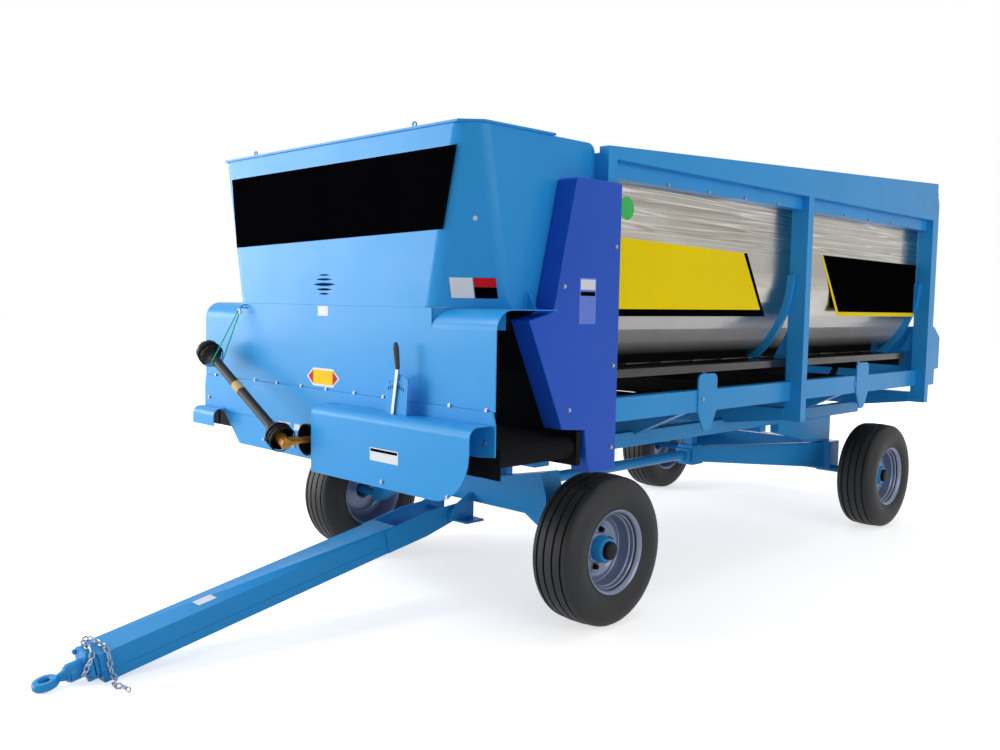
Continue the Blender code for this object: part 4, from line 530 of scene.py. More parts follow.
def turned(profile, segments, centre, axis, rod=False):
    """Profile of (along, radius) turned about an axis: a closed ring section, or a rod with end faces."""
    side = axis.orthogonal().normalized()
    up = axis.cross(side)
    bm = bmesh.new()
    rings = []
    for along, radius in profile:
        ring = []
        for step in range(segments):
            angle = 2.0 * math.pi * step / segments
            ring.append(bm.verts.new(centre + axis * along
                                     + (side * math.cos(angle) + up * math.sin(angle)) * radius))
        rings.append(ring)
    count = len(rings)
    for index in range(count - 1 if rod else count):
        ring = rings[index]
        following = rings[(index + 1) % count]
        for i in range(segments):
            j = (i + 1) % segments
            bm.faces.new((ring[i], ring[j], following[j], following[i]))
    if rod:
        bm.faces.new(rings[0])
        bm.faces.new(rings[-1])
    return closed_mesh(bm)


def wire_ring(centre, axis, radius, wire, segments=28, sides=8):
    """Round wire ring."""
    angles = [2.0 * math.pi * step / sides for step in range(sides)]
    section = [(wire * math.cos(angle), radius + wire * math.sin(angle)) for angle in angles]
    return turned(section, segments, centre, axis)


def wheel_place(corner):
    """Middle of a wheel, the axis that points outward from it, half its tyre's width and its radius."""
    low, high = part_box("tyre_" + corner)
    centre = JOINT_PLACES["wheel_" + corner + "_spin"].copy()
    centre.x = (low.x + high.x) / 2
    axis = Vector((math.copysign(1.0, centre.x), 0.0, 0.0))
    return centre, axis, (high.x - low.x) / 2, (high.z - low.z) / 2


class WAGON_OT_stage(bpy.types.Operator):
    """Floor, white backdrop, soft lamps and the camera at the photo's view"""
    bl_idname = "wagon.stage"
    bl_label = "Studio"

    # The camera's place, its turn to the left, its tilt down and its roll in degrees, and its lens in mm
    CAMERA_PLACE = (4.2492, -7.4993, 1.7278)
    CAMERA_AZIMUTH = 44.8413
    CAMERA_PITCH = 4.3389
    CAMERA_ROLL = 1.0602
    CAMERA_LENS = 34.192
    CAMERA_SIGHT = 200.0
    # The floor's half size and shade, its glow near the wagon, and the distances between which that rises
    FLOOR_HALF = 60.0
    FLOOR_SHADE = 0.8
    FLOOR_GLOW = 0.62
    GLOW_NEAR = 5.5
    GLOW_FAR = 10.0
    AIR = 0.36
    # Name, place, target, width, height, power of each lamp
    LAMPS = (
        ("card", (-13.0, -13.0, 3.8), (0.0, -3.6, 1.8), 15.0, 6.0, 1850.0),
        ("key", (-6.0, -10.5, 8.0), (0.0, -3.0, 1.0), 3.2, 3.2, 420.0),
        ("side", (11.0, -3.0, 4.2), (0.5, -1.5, 1.4), 7.0, 4.0, 270.0),
        ("top", (0.0, -1.5, 9.0), (0.0, -1.5, 0.0), 6.0, 6.0, 190.0),
        ("back", (-5.0, 11.0, 5.5), (0.0, 0.5, 1.4), 6.0, 4.0, 320.0),
    )

    def seen_rays(self, tree):
        """One for camera, glossy and transmitted rays."""
        path = add_node(tree, "ShaderNodeLightPath").outputs
        seen = worked(tree, "MAXIMUM", path["Is Camera Ray"], path["Is Glossy Ray"])
        return worked(tree, "MAXIMUM", seen, path["Is Transmission Ray"])

    def floor(self):
        """Large pale floor: it shows the wagon's shadow and runs out to white farther away."""
        bm = bmesh.new()
        bmesh.ops.create_grid(bm, x_segments=1, y_segments=1, size=self.FLOOR_HALF)
        mesh = mesh_of(bm)
        item = linked("floor", mesh)
        material, tree, shader = new_material("Pale floor", roughness=1.0, specular=0.0)
        shader.inputs["Base Color"].default_value = shade(WHITE, self.FLOOR_SHADE)
        place = add_node(tree, "ShaderNodeTexCoord").outputs["Object"]
        distance = add_node(tree, "ShaderNodeVectorMath", place, operation="LENGTH").outputs["Value"]
        glow = ranged(tree, distance, self.GLOW_NEAR, self.GLOW_FAR, self.FLOOR_GLOW, 1.0, "SMOOTHSTEP")
        strength = worked(tree, "MULTIPLY", glow, self.seen_rays(tree))
        white = add_node(tree, "ShaderNodeEmission", Color=WHITE, Strength=strength)
        total = add_node(tree, "ShaderNodeAddShader", shader.outputs[0], white.outputs[0])
        tree.links.new(total.outputs[0], tree.nodes["Material Output"].inputs["Surface"])
        mesh.materials.append(material)

    def world(self):
        """Even light, and plain white for what is seen straight on or in a reflection."""
        world = bpy.data.worlds.new("Studio air")
        bpy.context.scene.world = world
        world.use_nodes = True
        tree = world.node_tree
        tree.nodes.clear()
        plain = add_node(tree, "ShaderNodeBackground", Color=WHITE, Strength=self.AIR).outputs[0]
        white = add_node(tree, "ShaderNodeBackground", Color=WHITE, Strength=1.0).outputs[0]
        mix = add_node(tree, "ShaderNodeMixShader", self.seen_rays(tree), plain, white)
        add_node(tree, "ShaderNodeOutputWorld", Surface=mix.outputs[0])

    def lamp(self, name, place, target, width, height, power):
        """Soft rectangular lamp aimed at a point."""
        data = bpy.data.lights.new(name, "AREA")
        data.shape = "RECTANGLE"
        data.size = width
        data.size_y = height
        data.energy = power
        item = linked(name, data)
        item.location = at(*place)
        aim = at(*target) - item.location
        item.rotation_euler = aim.to_track_quat("-Z", "Y").to_euler()

    def camera(self):
        """Camera fitted to the photo, in the wagon's frame."""
        data = bpy.data.cameras.new("camera")
        data.lens = self.CAMERA_LENS
        data.clip_end = self.CAMERA_SIGHT
        item = linked("camera", data)
        place = Matrix.Translation(at(*self.CAMERA_PLACE))
        for angle, way in ((self.CAMERA_AZIMUTH, "Z"), (90.0 - self.CAMERA_PITCH, "X"),
                           (self.CAMERA_ROLL, "Z")):
            place = place @ Matrix.Rotation(math.radians(angle), 4, way)
        item.matrix_world = place
        bpy.context.scene.camera = item

    def execute(self, context):
        context.scene.view_settings.view_transform = "Standard"
        self.floor()
        self.world()
        self.camera()
        for row in self.LAMPS:
            self.lamp(*row)
        return {"FINISHED"}


class WAGON_OT_finishes(bpy.types.Operator):
    """Enamel, stainless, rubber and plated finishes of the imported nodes"""
    bl_idname = "wagon.finishes"
    bl_label = "Finishes"

    def execute(self, context):
        for name, item in NODES.items():
            item.data.materials.clear()
            item.data.materials.append(finish(finish_of(name)))
        return {"FINISHED"}


class WAGON_OT_panels(bpy.types.Operator):
    """Bent and welded sheet pieces with softened edges, and the front box with its rolled bends"""
    bl_idname = "wagon.panels"
    bl_label = "Sheet panels"

    MERGE = 0.00002
    FLAT_ANGLE = math.radians(1.0)
    SHARP_ANGLE = math.radians(35.0)
    # Which edges of the front box are its upright bends: share of its height, least and greatest angle
    BEND_SHARE = 0.8
    BEND_ANGLES = (math.radians(15.0), math.radians(75.0))
    BEND_STEPS = 6
    EDGE_STEPS = 2
    SOFT_SMOOTH = 50.0
    BOX_SMOOTH = 35.0
    # Node and the width of its softened edges
    SOFT_EDGES = (
        ("hood", 0.002), ("lip_plate", 0.002), ("apron", 0.002), ("drive_cover", 0.006),
        ("end_cover", 0.004), ("chain_guard_left", 0.005), ("chain_guard_right", 0.005),
        ("front_rim", 0.002), ("side_frame_left", 0.005), ("side_frame_right", 0.005), ("drawbar", 0.006),
        ("front_bolster", 0.004), ("front_axle", 0.004), ("rear_axle", 0.005), ("chassis", 0.004),
        ("hitch_head", 0.003), ("lever_quadrant", 0.001), ("tail_housing", 0.005), ("reach", 0.004),
    )

    def merged(self, node):
        """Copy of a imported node's mesh with its flat faces whole, and each inner edge's angle."""
        bm = bmesh.new()
        bm.from_mesh(NODES[node].data)
        bmesh.ops.remove_doubles(bm, verts=bm.verts[:], dist=self.MERGE)
        bmesh.ops.dissolve_limit(bm, angle_limit=self.FLAT_ANGLE, verts=bm.verts[:], edges=bm.edges[:])
        angles = [(edge, edge.calc_face_angle(0.0)) for edge in bm.edges if len(edge.link_faces) == 2]
        return bm, angles

    def rounded(self, bm, edges, width, steps):
        """Edges of a form turned over a radius."""
        bmesh.ops.bevel(bm, geom=edges, offset=width, offset_type="OFFSET", segments=steps, profile=0.5,
                        affect="EDGES", clamp_overlap=True)

    def shown(self, bm, node, smooth_angle):
        """Piece that stands for a node, with its shading evened over the flat faces."""
        mesh = mesh_of(bm)
        smoothed(mesh, smooth_angle)
        mesh = evaluated(mesh, "WEIGHTED_NORMAL", keep_sharp=True)
        piece = mesh_piece(node + "_panel", mesh, finish_of(node), body_of(node))
        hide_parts(node)

    def softened(self, node, width):
        """Panel whose sharp edges are turned over a small radius."""
        bm, angles = self.merged(node)
        sharp = [edge for edge, angle in angles if angle > self.SHARP_ANGLE]
        self.rounded(bm, sharp, width, self.EDGE_STEPS)
        bmesh.ops.remove_doubles(bm, verts=bm.verts[:], dist=self.MERGE)
        self.shown(bm, node, self.SOFT_SMOOTH)

    def front_box(self, bend):
        """Front box with its upright bends rolled over a wide radius."""
        bm, angles = self.merged("front_box")
        tall = (BOX_HIGH.z - BOX_LOW.z) * self.BEND_SHARE
        least, most = self.BEND_ANGLES
        bends = [edge for edge, angle in angles
                 if least < angle < most and abs(edge.verts[0].co.z - edge.verts[1].co.z) > tall]
        self.rounded(bm, bends, bend, self.BEND_STEPS)
        self.shown(bm, "front_box", self.BOX_SMOOTH)

    def execute(self, context):
        self.front_box(context.scene.wagon_sizes.box_bend)
        for node, width in self.SOFT_EDGES:
            self.softened(node, width)
        return {"FINISHED"}


class WAGON_OT_wheels(bpy.types.Operator):
    """Tyres with grooves round the tread, dished rims, hubs and their caps"""
    bl_idname = "wagon.wheels"
    bl_label = "Wheels"

    GROOVE_PLACES = (-0.08, -0.028, 0.028, 0.08)
    GROOVE_HALF = 0.0065
    GROOVE_DRAFT = 0.002
    # The crown's drop from the tyre's full radius at the middle, and how it falls off with the place squared
    CROWN_DROP = 0.0006
    CROWN_FALL = 0.75
    # Tyre's side from the bead to the shoulder: inward from the side, radius
    SIDE_SECTION = (
        (0.045, 0.205), (0.032, 0.212), (0.024, 0.23), (0.02, 0.236), (0.0145, 0.25), (0.011, 0.254),
        (0.0045, 0.278), (0.001, 0.298), (0.0004, 0.318), (0.0025, 0.338), (0.0075, 0.358), (0.014, 0.374),
        (0.022, 0.387), (0.031, 0.396), (0.042, 0.402),
    )
    # Rim and disc section from the outer lip round to the inner one: outward from the middle, radius
    RIM_SECTION = (
        (0.1275, 0.2285), (0.124, 0.22), (0.116, 0.2125), (0.109, 0.2085), (0.096, 0.206), (0.09, 0.199),
        (0.071, 0.197), (0.065, 0.1905), (0.046, 0.1885), (0.03, 0.185), (0.004, 0.183), (0.001, 0.179),
        (0.004, 0.17), (0.011, 0.158), (0.013, 0.15), (0.011, 0.142), (0.003, 0.129), (0.0, 0.124),
        (0.0, 0.09), (0.005, 0.085), (0.009, 0.078), (0.009, 0.06), (-0.009, 0.06), (-0.009, 0.124),
        (0.002, 0.148), (-0.008, 0.176), (-0.014, 0.183), (-0.05, 0.1885), (-0.09, 0.199), (-0.11, 0.2085),
        (-0.116, 0.2125), (-0.124, 0.22), (-0.1275, 0.2285), (-0.124, 0.231), (-0.113, 0.219),
        (-0.1, 0.212), (0.1, 0.212), (0.113, 0.219), (0.124, 0.231),
    )
    HUB_SECTION = ((0.004, 0.072), (0.066, 0.07), (0.074, 0.064), (0.074, 0.05), (0.004, 0.05))
    CAP_SECTION = ((0.07, 0.049), (0.096, 0.048), (0.103, 0.042), (0.105, 0.028), (0.1055, 0.01))

    def tyre_section(self, half, radius, depth):
        """Tyre section as (outward, radius) with grooves in the crown."""
        side = [(half - inward, height) for inward, height in self.SIDE_SECTION]
        wide = self.GROOVE_HALF
        narrow = wide - self.GROOVE_DRAFT
        crown = []
        for place in reversed(self.GROOVE_PLACES):
            top = radius - self.CROWN_DROP - self.CROWN_FALL * place ** 2
            crown += [(place + wide, top), (place + narrow, top - depth), (place - narrow, top - depth),
                      (place - wide, top)]
        return side + crown + [(-outward, height) for outward, height in side[::-1]]

    def execute(self, context):
        depth = context.scene.wagon_sizes.groove_depth
        for corner in CORNERS:
            centre, axis, half, radius = wheel_place(corner)
            # Name, section, segments, whether it has end faces, finish, smooth angle, node it stands for
            for name, section, segments, rod, material, smooth_angle, node in (
                    ("tread_", self.tyre_section(half, radius, depth), 80, False, "tyre", 38.0, "tyre_"),
                    ("disc_", self.RIM_SECTION, 80, False, "rim", 32.0, "rim_"),
                    ("hub_", self.HUB_SECTION, 40, False, "sky", 35.0, None),
                    ("cap_", self.CAP_SECTION, 32, True, "plastic", 35.0, None)):
                mesh = turned(section, segments, centre, axis, rod)
                piece = mesh_piece(name + corner, mesh, material, "wheel_" + corner, smooth_angle)
                if node:
                    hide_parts(node + corner)
        return {"FINISHED"}


class WAGON_OT_fasteners(bpy.types.Operator):
    """Hexagon bolts on washers and the wheel nuts, set on points by Geometry Nodes"""
    bl_idname = "wagon.fasteners"
    bl_label = "Bolts"

    # Node, height, then the places across of bolts seen from the front
    FRONT_PLACES = (
        ("hood", 1.25, (-1.167, -0.704, -0.465, -0.22, 0.019, 0.269, 0.511, 1.003, 1.248)),
        ("lip_plate", 1.104, (-1.245, 1.245)),
        ("front_box", 2.115, (-1.05, 1.05)),
        ("drive_cover", 0.862, (0.681, 1.15)),
        ("belt_rail_rear", 1.062, (1.08, 1.18, -1.08, -1.18)),
        ("apron", 0.905, (-0.62, -0.3)),
    )
    # Node (with a side word to fill in), then (rearward, height) places on the flank
    FLANK_PLACES = (
        ("side_frame_{}", ((-3.119, 2.39), (-2.715, 2.39), (-2.316, 2.39), (-1.916, 2.39), (-0.967, 2.39),
                           (-0.568, 2.39), (-0.174, 2.39), (0.162, 2.39), (-2.668, 1.179), (-0.605, 1.172),
                           (-1.668, 1.172), (0.382, 1.169))),
        ("chain_guard_{}", ((-3.67, 1.0), (-3.67, 1.42), (-3.67, 2.02), (-4.004, 1.213), (-4.06, 1.812))),
    )
    STUDS = 6
    STUD_RADIUS = 0.102
    # Turn of the first nut as a share of the step between nuts, and a nut's height to its width
    STUD_START = 0.3
    STUD_SHAPE = 0.8
    WASHER = 0.0016
    # Radius as a share of the width across the flats: of the hexagon's corners and of the washer
    HEAD_SHARE = 0.577
    WASHER_SHARE = 0.72

    def tree(self):
        """Node tree that sets one bolt on each point along the point's own axis."""
        tree = bpy.data.node_groups.new("Hexagon bolts", "GeometryNodeTree")
        tree.is_modifier = True
        for title, kind in (("Geometry", "Geometry"), ("Width", "Float"), ("Height", "Float"),
                            ("Washer", "Float"), ("Finish", "Material")):
            tree.interface.new_socket(name=title, in_out="INPUT", socket_type="NodeSocket" + kind)
        tree.interface.new_socket(name="Geometry", in_out="OUTPUT", socket_type="NodeSocketGeometry")
        start = tree.nodes.new("NodeGroupInput").outputs
        end = tree.nodes.new("NodeGroupOutput")
        join = tree.nodes.new("GeometryNodeJoinGeometry")
        # Sides, share of the width for the radius, depth and height of the foot over the seat
        for sides, share, depth, foot in ((6, self.HEAD_SHARE, start["Height"], start["Washer"]),
                                          (20, self.WASHER_SHARE, start["Washer"], 0.0)):
            radius = worked(tree, "MULTIPLY", start["Width"], share)
            form = add_node(tree, "GeometryNodeMeshCylinder", Vertices=sides, Radius=radius, Depth=depth)
            lift = worked(tree, "MULTIPLY_ADD", depth, 0.5, foot)
            offset = add_node(tree, "ShaderNodeCombineXYZ", Z=lift).outputs[0]
            moved = add_node(tree, "GeometryNodeTransform", Geometry=form.outputs["Mesh"], Translation=offset)
            tree.links.new(moved.outputs[0], join.inputs[0])
        axis = add_node(tree, "GeometryNodeInputNamedAttribute", data_type="FLOAT_VECTOR", Name="axis")
        turn = add_node(tree, "FunctionNodeAlignRotationToVector", axis="Z", Vector=axis.outputs["Attribute"])
        spread = add_node(tree, "GeometryNodeInstanceOnPoints", Points=start["Geometry"],
                          Instance=join.outputs[0], Rotation=turn.outputs[0])
        real = add_node(tree, "GeometryNodeRealizeInstances", spread.outputs[0])
        paint = add_node(tree, "GeometryNodeSetMaterial", Geometry=real.outputs[0], Material=start["Finish"])
        tree.links.new(paint.outputs[0], end.inputs[0])
        return tree

    def grown(self, name, seats, tree, material, body, width, height):
        """One plain mesh of bolts on a list of (place, axis)."""
        mesh = bpy.data.meshes.new(name + "_points")
        mesh.from_pydata([place for place, _ in seats], [], [])
        axes = mesh.attributes.new("axis", "FLOAT_VECTOR", "POINT")
        for index, (_, axis) in enumerate(seats):
            axes.data[index].vector = axis
        values = {"Width": width, "Height": height, "Washer": self.WASHER, "Finish": finish(material)}
        inputs = {socket.identifier: values[socket.name] for socket in tree.interface.items_tree
                  if socket.in_out == "INPUT" and socket.name in values}
        mesh_piece(name, evaluated(mesh, "NODES", node_group=tree, **inputs), material, body)

    def body_seats(self):
        """Places and axes of the body's bolts."""
        seats = [on_face(node, "front", place, height)
                 for node, height, places in self.FRONT_PLACES for place in places]
        for pattern, places in self.FLANK_PLACES:
            for side, _ in SIDES:
                node = pattern.format(side)
                seats += [on_face(node, side, rearward, height) for rearward, height in places]
        return seats

    def wheel_seats(self, corner):
        """Places and axes of a wheel's nuts."""
        centre, axis, _, _ = wheel_place(corner)
        seats = []
        for step in range(self.STUDS):
            angle = 2.0 * math.pi * (step + self.STUD_START) / self.STUDS
            seats.append((centre + Vector((0.0, math.cos(angle), math.sin(angle))) * self.STUD_RADIUS, axis))
        return seats

    def execute(self, context):
        sizes = context.scene.wagon_sizes
        tree = self.tree()
        self.grown("body_bolts", self.body_seats(), tree, "zinc", "root", sizes.bolt_width, sizes.bolt_height)
        for corner in CORNERS:
            self.grown("nuts_" + corner, self.wheel_seats(corner), tree, "black", "wheel_" + corner,
                       sizes.stud_width, sizes.stud_width * self.STUD_SHAPE)
        return {"FINISHED"}


class WAGON_OT_decals(bpy.types.Operator):
    """Plain film decals and blank labels on the front, the facet, the covers and the side sheets"""
    bl_idname = "wagon.decals"
    bl_label = "Decals"

    # Outline points as (x, z) on the front face
    FRONT_BAND = ((-0.97, 2.433), (-0.914, 2.027), (0.938, 2.063), (1.025, 2.44))
    # Name, finish and outline points as (y, z) of the films on the side sheets
    SIDE_FILMS = (
        ("yellow_field_", "yellow", ((-3.5, 2.09), (-2.185, 2.067), (-1.96, 1.714), (-3.48, 1.707))),
        ("yellow_shadow_", "film", ((-3.48, 1.707), (-1.96, 1.714), (-2.185, 2.067), (-2.145, 2.067),
                                    (-1.9, 1.672), (-3.48, 1.668))),
        ("black_field_", "film", ((-1.124, 2.106), (0.536, 2.1), (0.536, 1.708), (-0.851, 1.708))),
        ("yellow_edge_", "yellow", ((-1.15, 2.112), (-1.124, 2.106), (-0.851, 1.708), (0.536, 1.708),
                                    (0.536, 1.678), (-0.868, 1.678))),
    )
    # Blank double arrow on the front: its middle, half its yellow body, its points' reach and its pale edge
    ARROW_CENTRE = (-0.016, 1.311)
    ARROW_HALF = (0.09, 0.038)
    ARROW_REACH = 0.046
    ARROW_EDGE = 0.011
    ARROW_TIP_EDGE = 0.0154
    # Name, node, face, left, right, low, high, finish of small blank labels
    LABELS = (
        ("vent_label", "hood", "front", (-0.066, 0.028, 1.642, 1.694), "white"),
        ("apron_label_wide", "apron", "front", (-0.468, -0.334, 1.022, 1.127), "white"),
        ("apron_label_small", "apron", "front", (-0.303, -0.243, 0.996, 1.07), "white"),
        ("cover_label", "drive_cover", "front", (0.585, 0.801, 0.957, 1.02), "white"),
        ("guard_label", "chain_guard_left", "left", (-3.945, -3.82, 1.632, 1.857), "pale_blue"),
        ("guard_label_right", "chain_guard_right", "right", (-3.945, -3.82, 1.632, 1.857), "pale_blue"),
        ("drawbar_label", "drawbar", "top", (-0.034, 0.034, -5.31, -5.215), "white"),
    )
    # The same for the plain bars and fields on those labels
    PRINTS = (
        ("cover_label_head", "drive_cover", "front", (0.591, 0.795, 1.002, 1.015), "film"),
        ("guard_label_head", "chain_guard_left", "left", (-3.938, -3.827, 1.77, 1.79), "film"),
        ("guard_picture", "chain_guard_left", "left", (-3.938, -3.827, 1.8, 1.85), "white"),
    )
    # Warning plate on the corner facet, seen from the front: the two halves and the black foot of the second
    FACET_PLATES = (
        ("warning_plate_{}_pale", (0.936, 1.016, 1.748, 1.843), "white"),
        ("warning_plate_{}_head", (1.019, 1.096, 1.8, 1.843), "red"),
        ("warning_plate_{}_foot", (1.019, 1.096, 1.748, 1.799), "film"),
    )
    # Round sticker: place rearward, height, radius, and its flat middle as a share of the radius
    ROUND_STICKER = (-3.39, 2.245, 0.062)
    STICKER_CORE = 0.3
    STICKER_SEGMENTS = 40
    # Height of what is printed on a label over the label's seat, and of the warning plates over the facet
    OVER = 0.0009
    FACET_GAP = 0.003

    def front(self, name, outline, material, film, gap=UNDER):
        """Film on the front wall, which is upright at its middle."""
        corners = [at(x, FRONT_FACE, z) for x, z in outline]
        mesh_piece(name, plate(corners, FORWARD, film, gap), material)

    def arrow_label(self, film):
        """Blank double arrow: an amber body and two red points on a pale edge."""
        x, z = self.ARROW_CENTRE
        wide, tall = self.ARROW_HALF
        reach = self.ARROW_REACH
        far = wide + reach + self.ARROW_TIP_EDGE
        high = tall + self.ARROW_EDGE
        self.front("arrow_edge", ((x - far, z), (x - wide, z - high), (x + wide, z - high), (x + far, z),
                                  (x + wide, z + high), (x - wide, z + high)), "white", film)
        self.front("arrow_label", oblong(x - wide, x + wide, z - tall, z + tall), "orange", film, self.OVER)
        for word, way in reversed(SIDES):
            foot = x + way * wide
            points = ((foot, z - tall), (foot + way * reach, z), (foot, z + tall))
            self.front("arrow_point_" + word, points, "red", film, self.OVER)

    def flank(self, word, side, film):
        """Films and sticker on the upright stretch of a side sheet."""
        way = Vector((side, 0.0, 0.0))
        for name, material, outline in self.SIDE_FILMS:
            corners = [at(side * SHEET_FACE, y, z) for y, z in outline]
            mesh_piece(name + word, plate(corners, way, film), material)
        rearward, height, radius = self.ROUND_STICKER
        centre = at(side * (SHEET_FACE + UNDER), rearward, height)
        section = ((0.0, radius), (film, radius), (film, radius * self.STICKER_CORE))
        mesh = turned(section, self.STICKER_SEGMENTS, centre, way, rod=True)
        mesh_piece("round_sticker_" + word, mesh, "green")

    def facet(self, word, side, film):
        """Blank warning plate on a corner facet of the front box."""
        for pattern, (near, far, low, high), material in self.FACET_PLATES:
            outline = oblong(side * near, side * far, low, high)
            mesh = label("front_box", "front", outline, film, self.FACET_GAP)
            mesh_piece(pattern.format(word), mesh, material)

    def execute(self, context):
        film = context.scene.wagon_sizes.film
        self.front("front_band", self.FRONT_BAND, "film", film)
        self.arrow_label(film)
        for word, side in SIDES:
            self.flank(word, side, film)
            self.facet(word, side, film)
        for gap, rows in ((UNDER, self.LABELS), (self.OVER, self.PRINTS)):
            for name, node, face, bounds, material in rows:
                mesh_piece(name, label(node, face, oblong(*bounds), film, gap), material, body_of(node))
        return {"FINISHED"}


class WAGON_OT_mouths(bpy.types.Operator):
    """Rubber curtain behind the cross belt, flaps of its rail, and the skirts that close the hood. The dark
    rubber ones stand in for the shade inside the mouths.
    """
    bl_idname = "wagon.mouths"
    bl_label = "Discharge mouths"

    THICKNESS = 0.005
    GAP = 0.001
    SIDE_GAP = 0.02
    CURTAIN_TOP = 1.66
    SKIRT_DROP = 0.1
    # How far a rubber strip laps over the rail, and the flaps' inset from the wagon's side and their top
    LAP = 0.02
    FLAP_INSET = 0.012
    FLAP_TOP = 1.075
    # Plan of the skirt's corner: inward from the box's side, rearward from its front
    SKIRT_PLAN = ((0.27, 0.004), (0.01, 0.244), (0.01, 0.62))

    def curtain(self):
        """Dark curtain that hangs to the chute's back, and the strip that closes the slot at its foot: they
        stand in for the shade inside the mouth behind the belt.
        """
        low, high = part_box("chute_back")
        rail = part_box("belt_rail_rear")[1]
        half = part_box("side_cheek_left")[0].x - self.SIDE_GAP
        corners = [Vector((x, low.y, z)) for x, z in oblong(-half, half, high.z + self.GAP, self.CURTAIN_TOP)]
        mesh_piece("chute_curtain", plate(corners, FORWARD, self.THICKNESS), "belt")
        foot = oblong(-half, half, rail.y - self.LAP, low.y - self.GAP)
        corners = [Vector((x, y, rail.z)) for x, y in foot]
        mesh_piece("curtain_foot", plate(corners, (0.0, 0.0, 1.0), self.THICKNESS, self.GAP), "belt")

    def flap(self, word, side):
        """Dark rubber flap from the front rail's end to the wagon's side, which stands in for the shade in
        the mouth.
        """
        low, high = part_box("belt_rail_front")
        inner, outer = sorted((side * (high.x - self.LAP), side * (CAD_BOX[1][0] - self.FLAP_INSET)))
        corners = [Vector((x, low.y, z)) for x, z in oblong(inner, outer, low.z, self.FLAP_TOP)]
        mesh_piece("rail_flap_" + word, plate(corners, FORWARD, self.THICKNESS), "belt")

    def skirts(self, word, side):
        """Skirts that hang from the foot of the front box round its corner: an enamel one on the facet, and a
        dark rubber one on the side that stands in for the shade under the hood.
        """
        plan = [(side * (BOX_HIGH.x - inward), BOX_LOW.y + back) for inward, back in self.SKIRT_PLAN]
        top = BOX_LOW.z - self.GAP
        low = top - self.SKIRT_DROP
        for title, (first, second), material in (("facet", plan[:2], "sky"), ("side", plan[1:], "belt")):
            corners = [Vector((*place, z))
                       for place, z in ((first, low), (second, low), (second, top), (first, top))]
            outward = Vector((first[1] - second[1], second[0] - first[0], 0.0)) * side
            mesh_piece(title + "_skirt_" + word, plate(corners, outward, self.THICKNESS, self.GAP), material)

    def execute(self, context):
        self.curtain()
        for word, side in SIDES:
            self.flap(word, side)
            self.skirts(word, side)
        return {"FINISHED"}


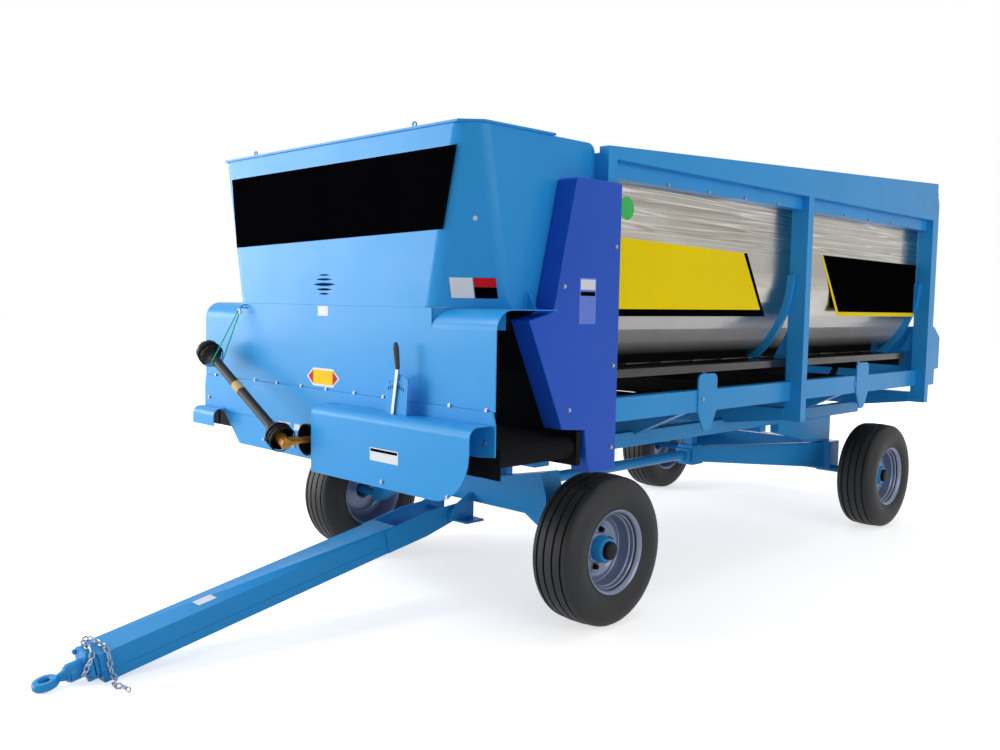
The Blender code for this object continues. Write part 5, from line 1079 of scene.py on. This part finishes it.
class WAGON_OT_fittings(bpy.types.Operator):
    """Lifting eyes, ribs and sleeves of the drive shaft's guard, the rope's tag and the quadrant's notches of
    painted shade
    """
    bl_idname = "wagon.fittings"
    bl_label = "Small fittings"

    # Lifting eyes: radius, wire, height of the middle as a share of the radius, set-back, smooth angle
    EYE_RADIUS = 0.013
    EYE_WIRE = 0.004
    EYE_RISE = 0.9
    EYE_SETBACK = 0.01
    WIRE_SMOOTH = 60.0
    # Node they stand on, x, y
    EYES = (("front_rim", -0.714, FRONT_FACE), ("front_rim", 0.714, FRONT_FACE),
            ("side_frame_left", 1.19, 0.64), ("side_frame_right", -1.19, 0.64))
    SHAFT_NEAR = (-0.03, -4.79, 0.98)
    SHAFT_FAR = (-1.055, -4.695, 1.425)
    # Ribs of the guard's bells: place along the shaft as a share of its length, and radius
    BELL_RINGS = ((0.02, 0.07), (0.045, 0.07), (0.07, 0.07), (0.905, 0.069), (0.93, 0.07))
    RING_WIRE = 0.0035
    RING_SEGMENTS = 40
    # Sleeves on the guard's tube: name, start and end as shares of its length with the radius, finish
    SLEEVES = (
        ("guard_band", (0.5, 0.575, 0.0285), "tan"),
        ("guard_collar", (0.128, 0.137, 0.03), "white"),
    )
    SLEEVE_WALL = 0.0012
    SLEEVE_SEGMENTS = 32
    SLEEVE_SMOOTH = 40.0
    # Width, depth and height of the rope's tag, and its top middle from the high corner of the rope's box
    TAG_SIZE = (0.028, 0.012, 0.032)
    TAG_OFFSET = (0.014, 0.003, 0.016)
    # Notches of painted shade on the lever's quadrant: their arc's radius, first and last angle, how many,
    # width and length
    NOTCH_RADIUS = 0.126
    NOTCH_ANGLES = (-25.0, 25.0)
    NOTCH_COUNT = 9
    NOTCH_SIZE = (0.005, 0.016)

    def lifting_eyes(self):
        """Wire rings that stand on the rims of the front unit and of the load space."""
        for number, (node, x, y) in enumerate(self.EYES):
            place, _ = on_face(node, "top", x, y + self.EYE_SETBACK)
            centre = place + Vector((0.0, 0.0, self.EYE_RADIUS * self.EYE_RISE))
            ring = wire_ring(centre, -FORWARD, self.EYE_RADIUS, self.EYE_WIRE)
            mesh_piece("lifting_eye_" + str(number + 1), ring, "sky", "root", self.WIRE_SMOOTH)

    def shaft_guard(self):
        """Ribs round the bells of the shaft's guard and the two sleeves on its tube."""
        near = at(*self.SHAFT_NEAR)
        run = at(*self.SHAFT_FAR) - near
        axis = run.normalized()
        rings = [wire_ring(near + run * share, axis, radius, self.RING_WIRE, self.RING_SEGMENTS)
                 for share, radius in self.BELL_RINGS]
        mesh_piece("guard_ribs", joined(rings), "plastic", "root", self.WIRE_SMOOTH)
        for name, (first, last, radius), material in self.SLEEVES:
            section = oblong(run.length * first, run.length * last, radius - self.SLEEVE_WALL, radius)
            mesh = turned(section, self.SLEEVE_SEGMENTS, near, axis)
            mesh_piece(name, mesh, material, "root", self.SLEEVE_SMOOTH)

    def rope_tag(self):
        """Blank tag folded round both strands of the rope under its staple."""
        wide, deep, tall = self.TAG_SIZE
        x, y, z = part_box("tie_rope")[1] - Vector(self.TAG_OFFSET)
        corners = [Vector((a, y, b)) for a, b in oblong(x - wide / 2, x + wide / 2, z - tall, z)]
        mesh_piece("rope_tag", plate(corners, FORWARD, deep), "white")

    def notches(self, film):
        """Dark film notches along the quadrant's rim, each pointing at the lever's pivot: painted shade where
        the plate has slots.
        """
        half = self.NOTCH_SIZE[0] / 2
        first, last = self.NOTCH_ANGLES
        low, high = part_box("lever_quadrant")
        centre = Vector(((low.x + high.x) / 2, low.z))
        forms = []
        for step in range(self.NOTCH_COUNT):
            angle = math.radians(first + (last - first) * step / (self.NOTCH_COUNT - 1))
            out = Vector((math.sin(angle), math.cos(angle)))
            across = Vector((out.y, -out.x)) * half
            foot = centre + out * self.NOTCH_RADIUS
            tip = foot + out * self.NOTCH_SIZE[1]
            outline = (foot - across, foot + across, tip + across, tip - across)
            forms.append(label("lever_quadrant", "front", outline, film))
        mesh_piece("quadrant_notches", joined(forms), "film")

    def execute(self, context):
        self.lifting_eyes()
        self.shaft_guard()
        self.rope_tag()
        self.notches(context.scene.wagon_sizes.film)
        return {"FINISHED"}


class WAGON_PT_panel(bpy.types.Panel):
    """Pieces of the feed wagon"""
    bl_label = "Feed wagon"
    bl_idname = "WAGON_PT_panel"
    bl_space_type = "VIEW_3D"
    bl_region_type = "UI"
    bl_category = "Feed wagon"

    def draw(self, context):
        for group in (context.scene.wagon_colours, context.scene.wagon_sizes):
            for key in group.bl_rna.properties.keys():
                if key not in {"rna_type", "name"}:
                    self.layout.prop(group, key)
        for operator in OPERATORS:
            self.layout.operator(operator.bl_idname)


SETTINGS = (WagonColours, WagonSizes)
OPERATORS = (WAGON_OT_stage, WAGON_OT_finishes, WAGON_OT_panels, WAGON_OT_wheels, WAGON_OT_mouths,
             WAGON_OT_fasteners, WAGON_OT_decals, WAGON_OT_fittings)


def register():
    for item in (*SETTINGS, *OPERATORS, WAGON_PT_panel):
        bpy.utils.register_class(item)
    bpy.types.Scene.wagon_colours = bpy.props.PointerProperty(type=WagonColours)
    bpy.types.Scene.wagon_sizes = bpy.props.PointerProperty(type=WagonSizes)


def unregister():
    del bpy.types.Scene.wagon_sizes
    del bpy.types.Scene.wagon_colours
    for item in (WAGON_PT_panel, *reversed(OPERATORS), *reversed(SETTINGS)):
        bpy.utils.unregister_class(item)


def main():
    """Registers the add-on and makes every piece in order."""
    register()
    for operator in OPERATORS:
        group, name = operator.bl_idname.split(".")
        getattr(getattr(bpy.ops, group), name)()


if __name__ == "__main__":
    main()
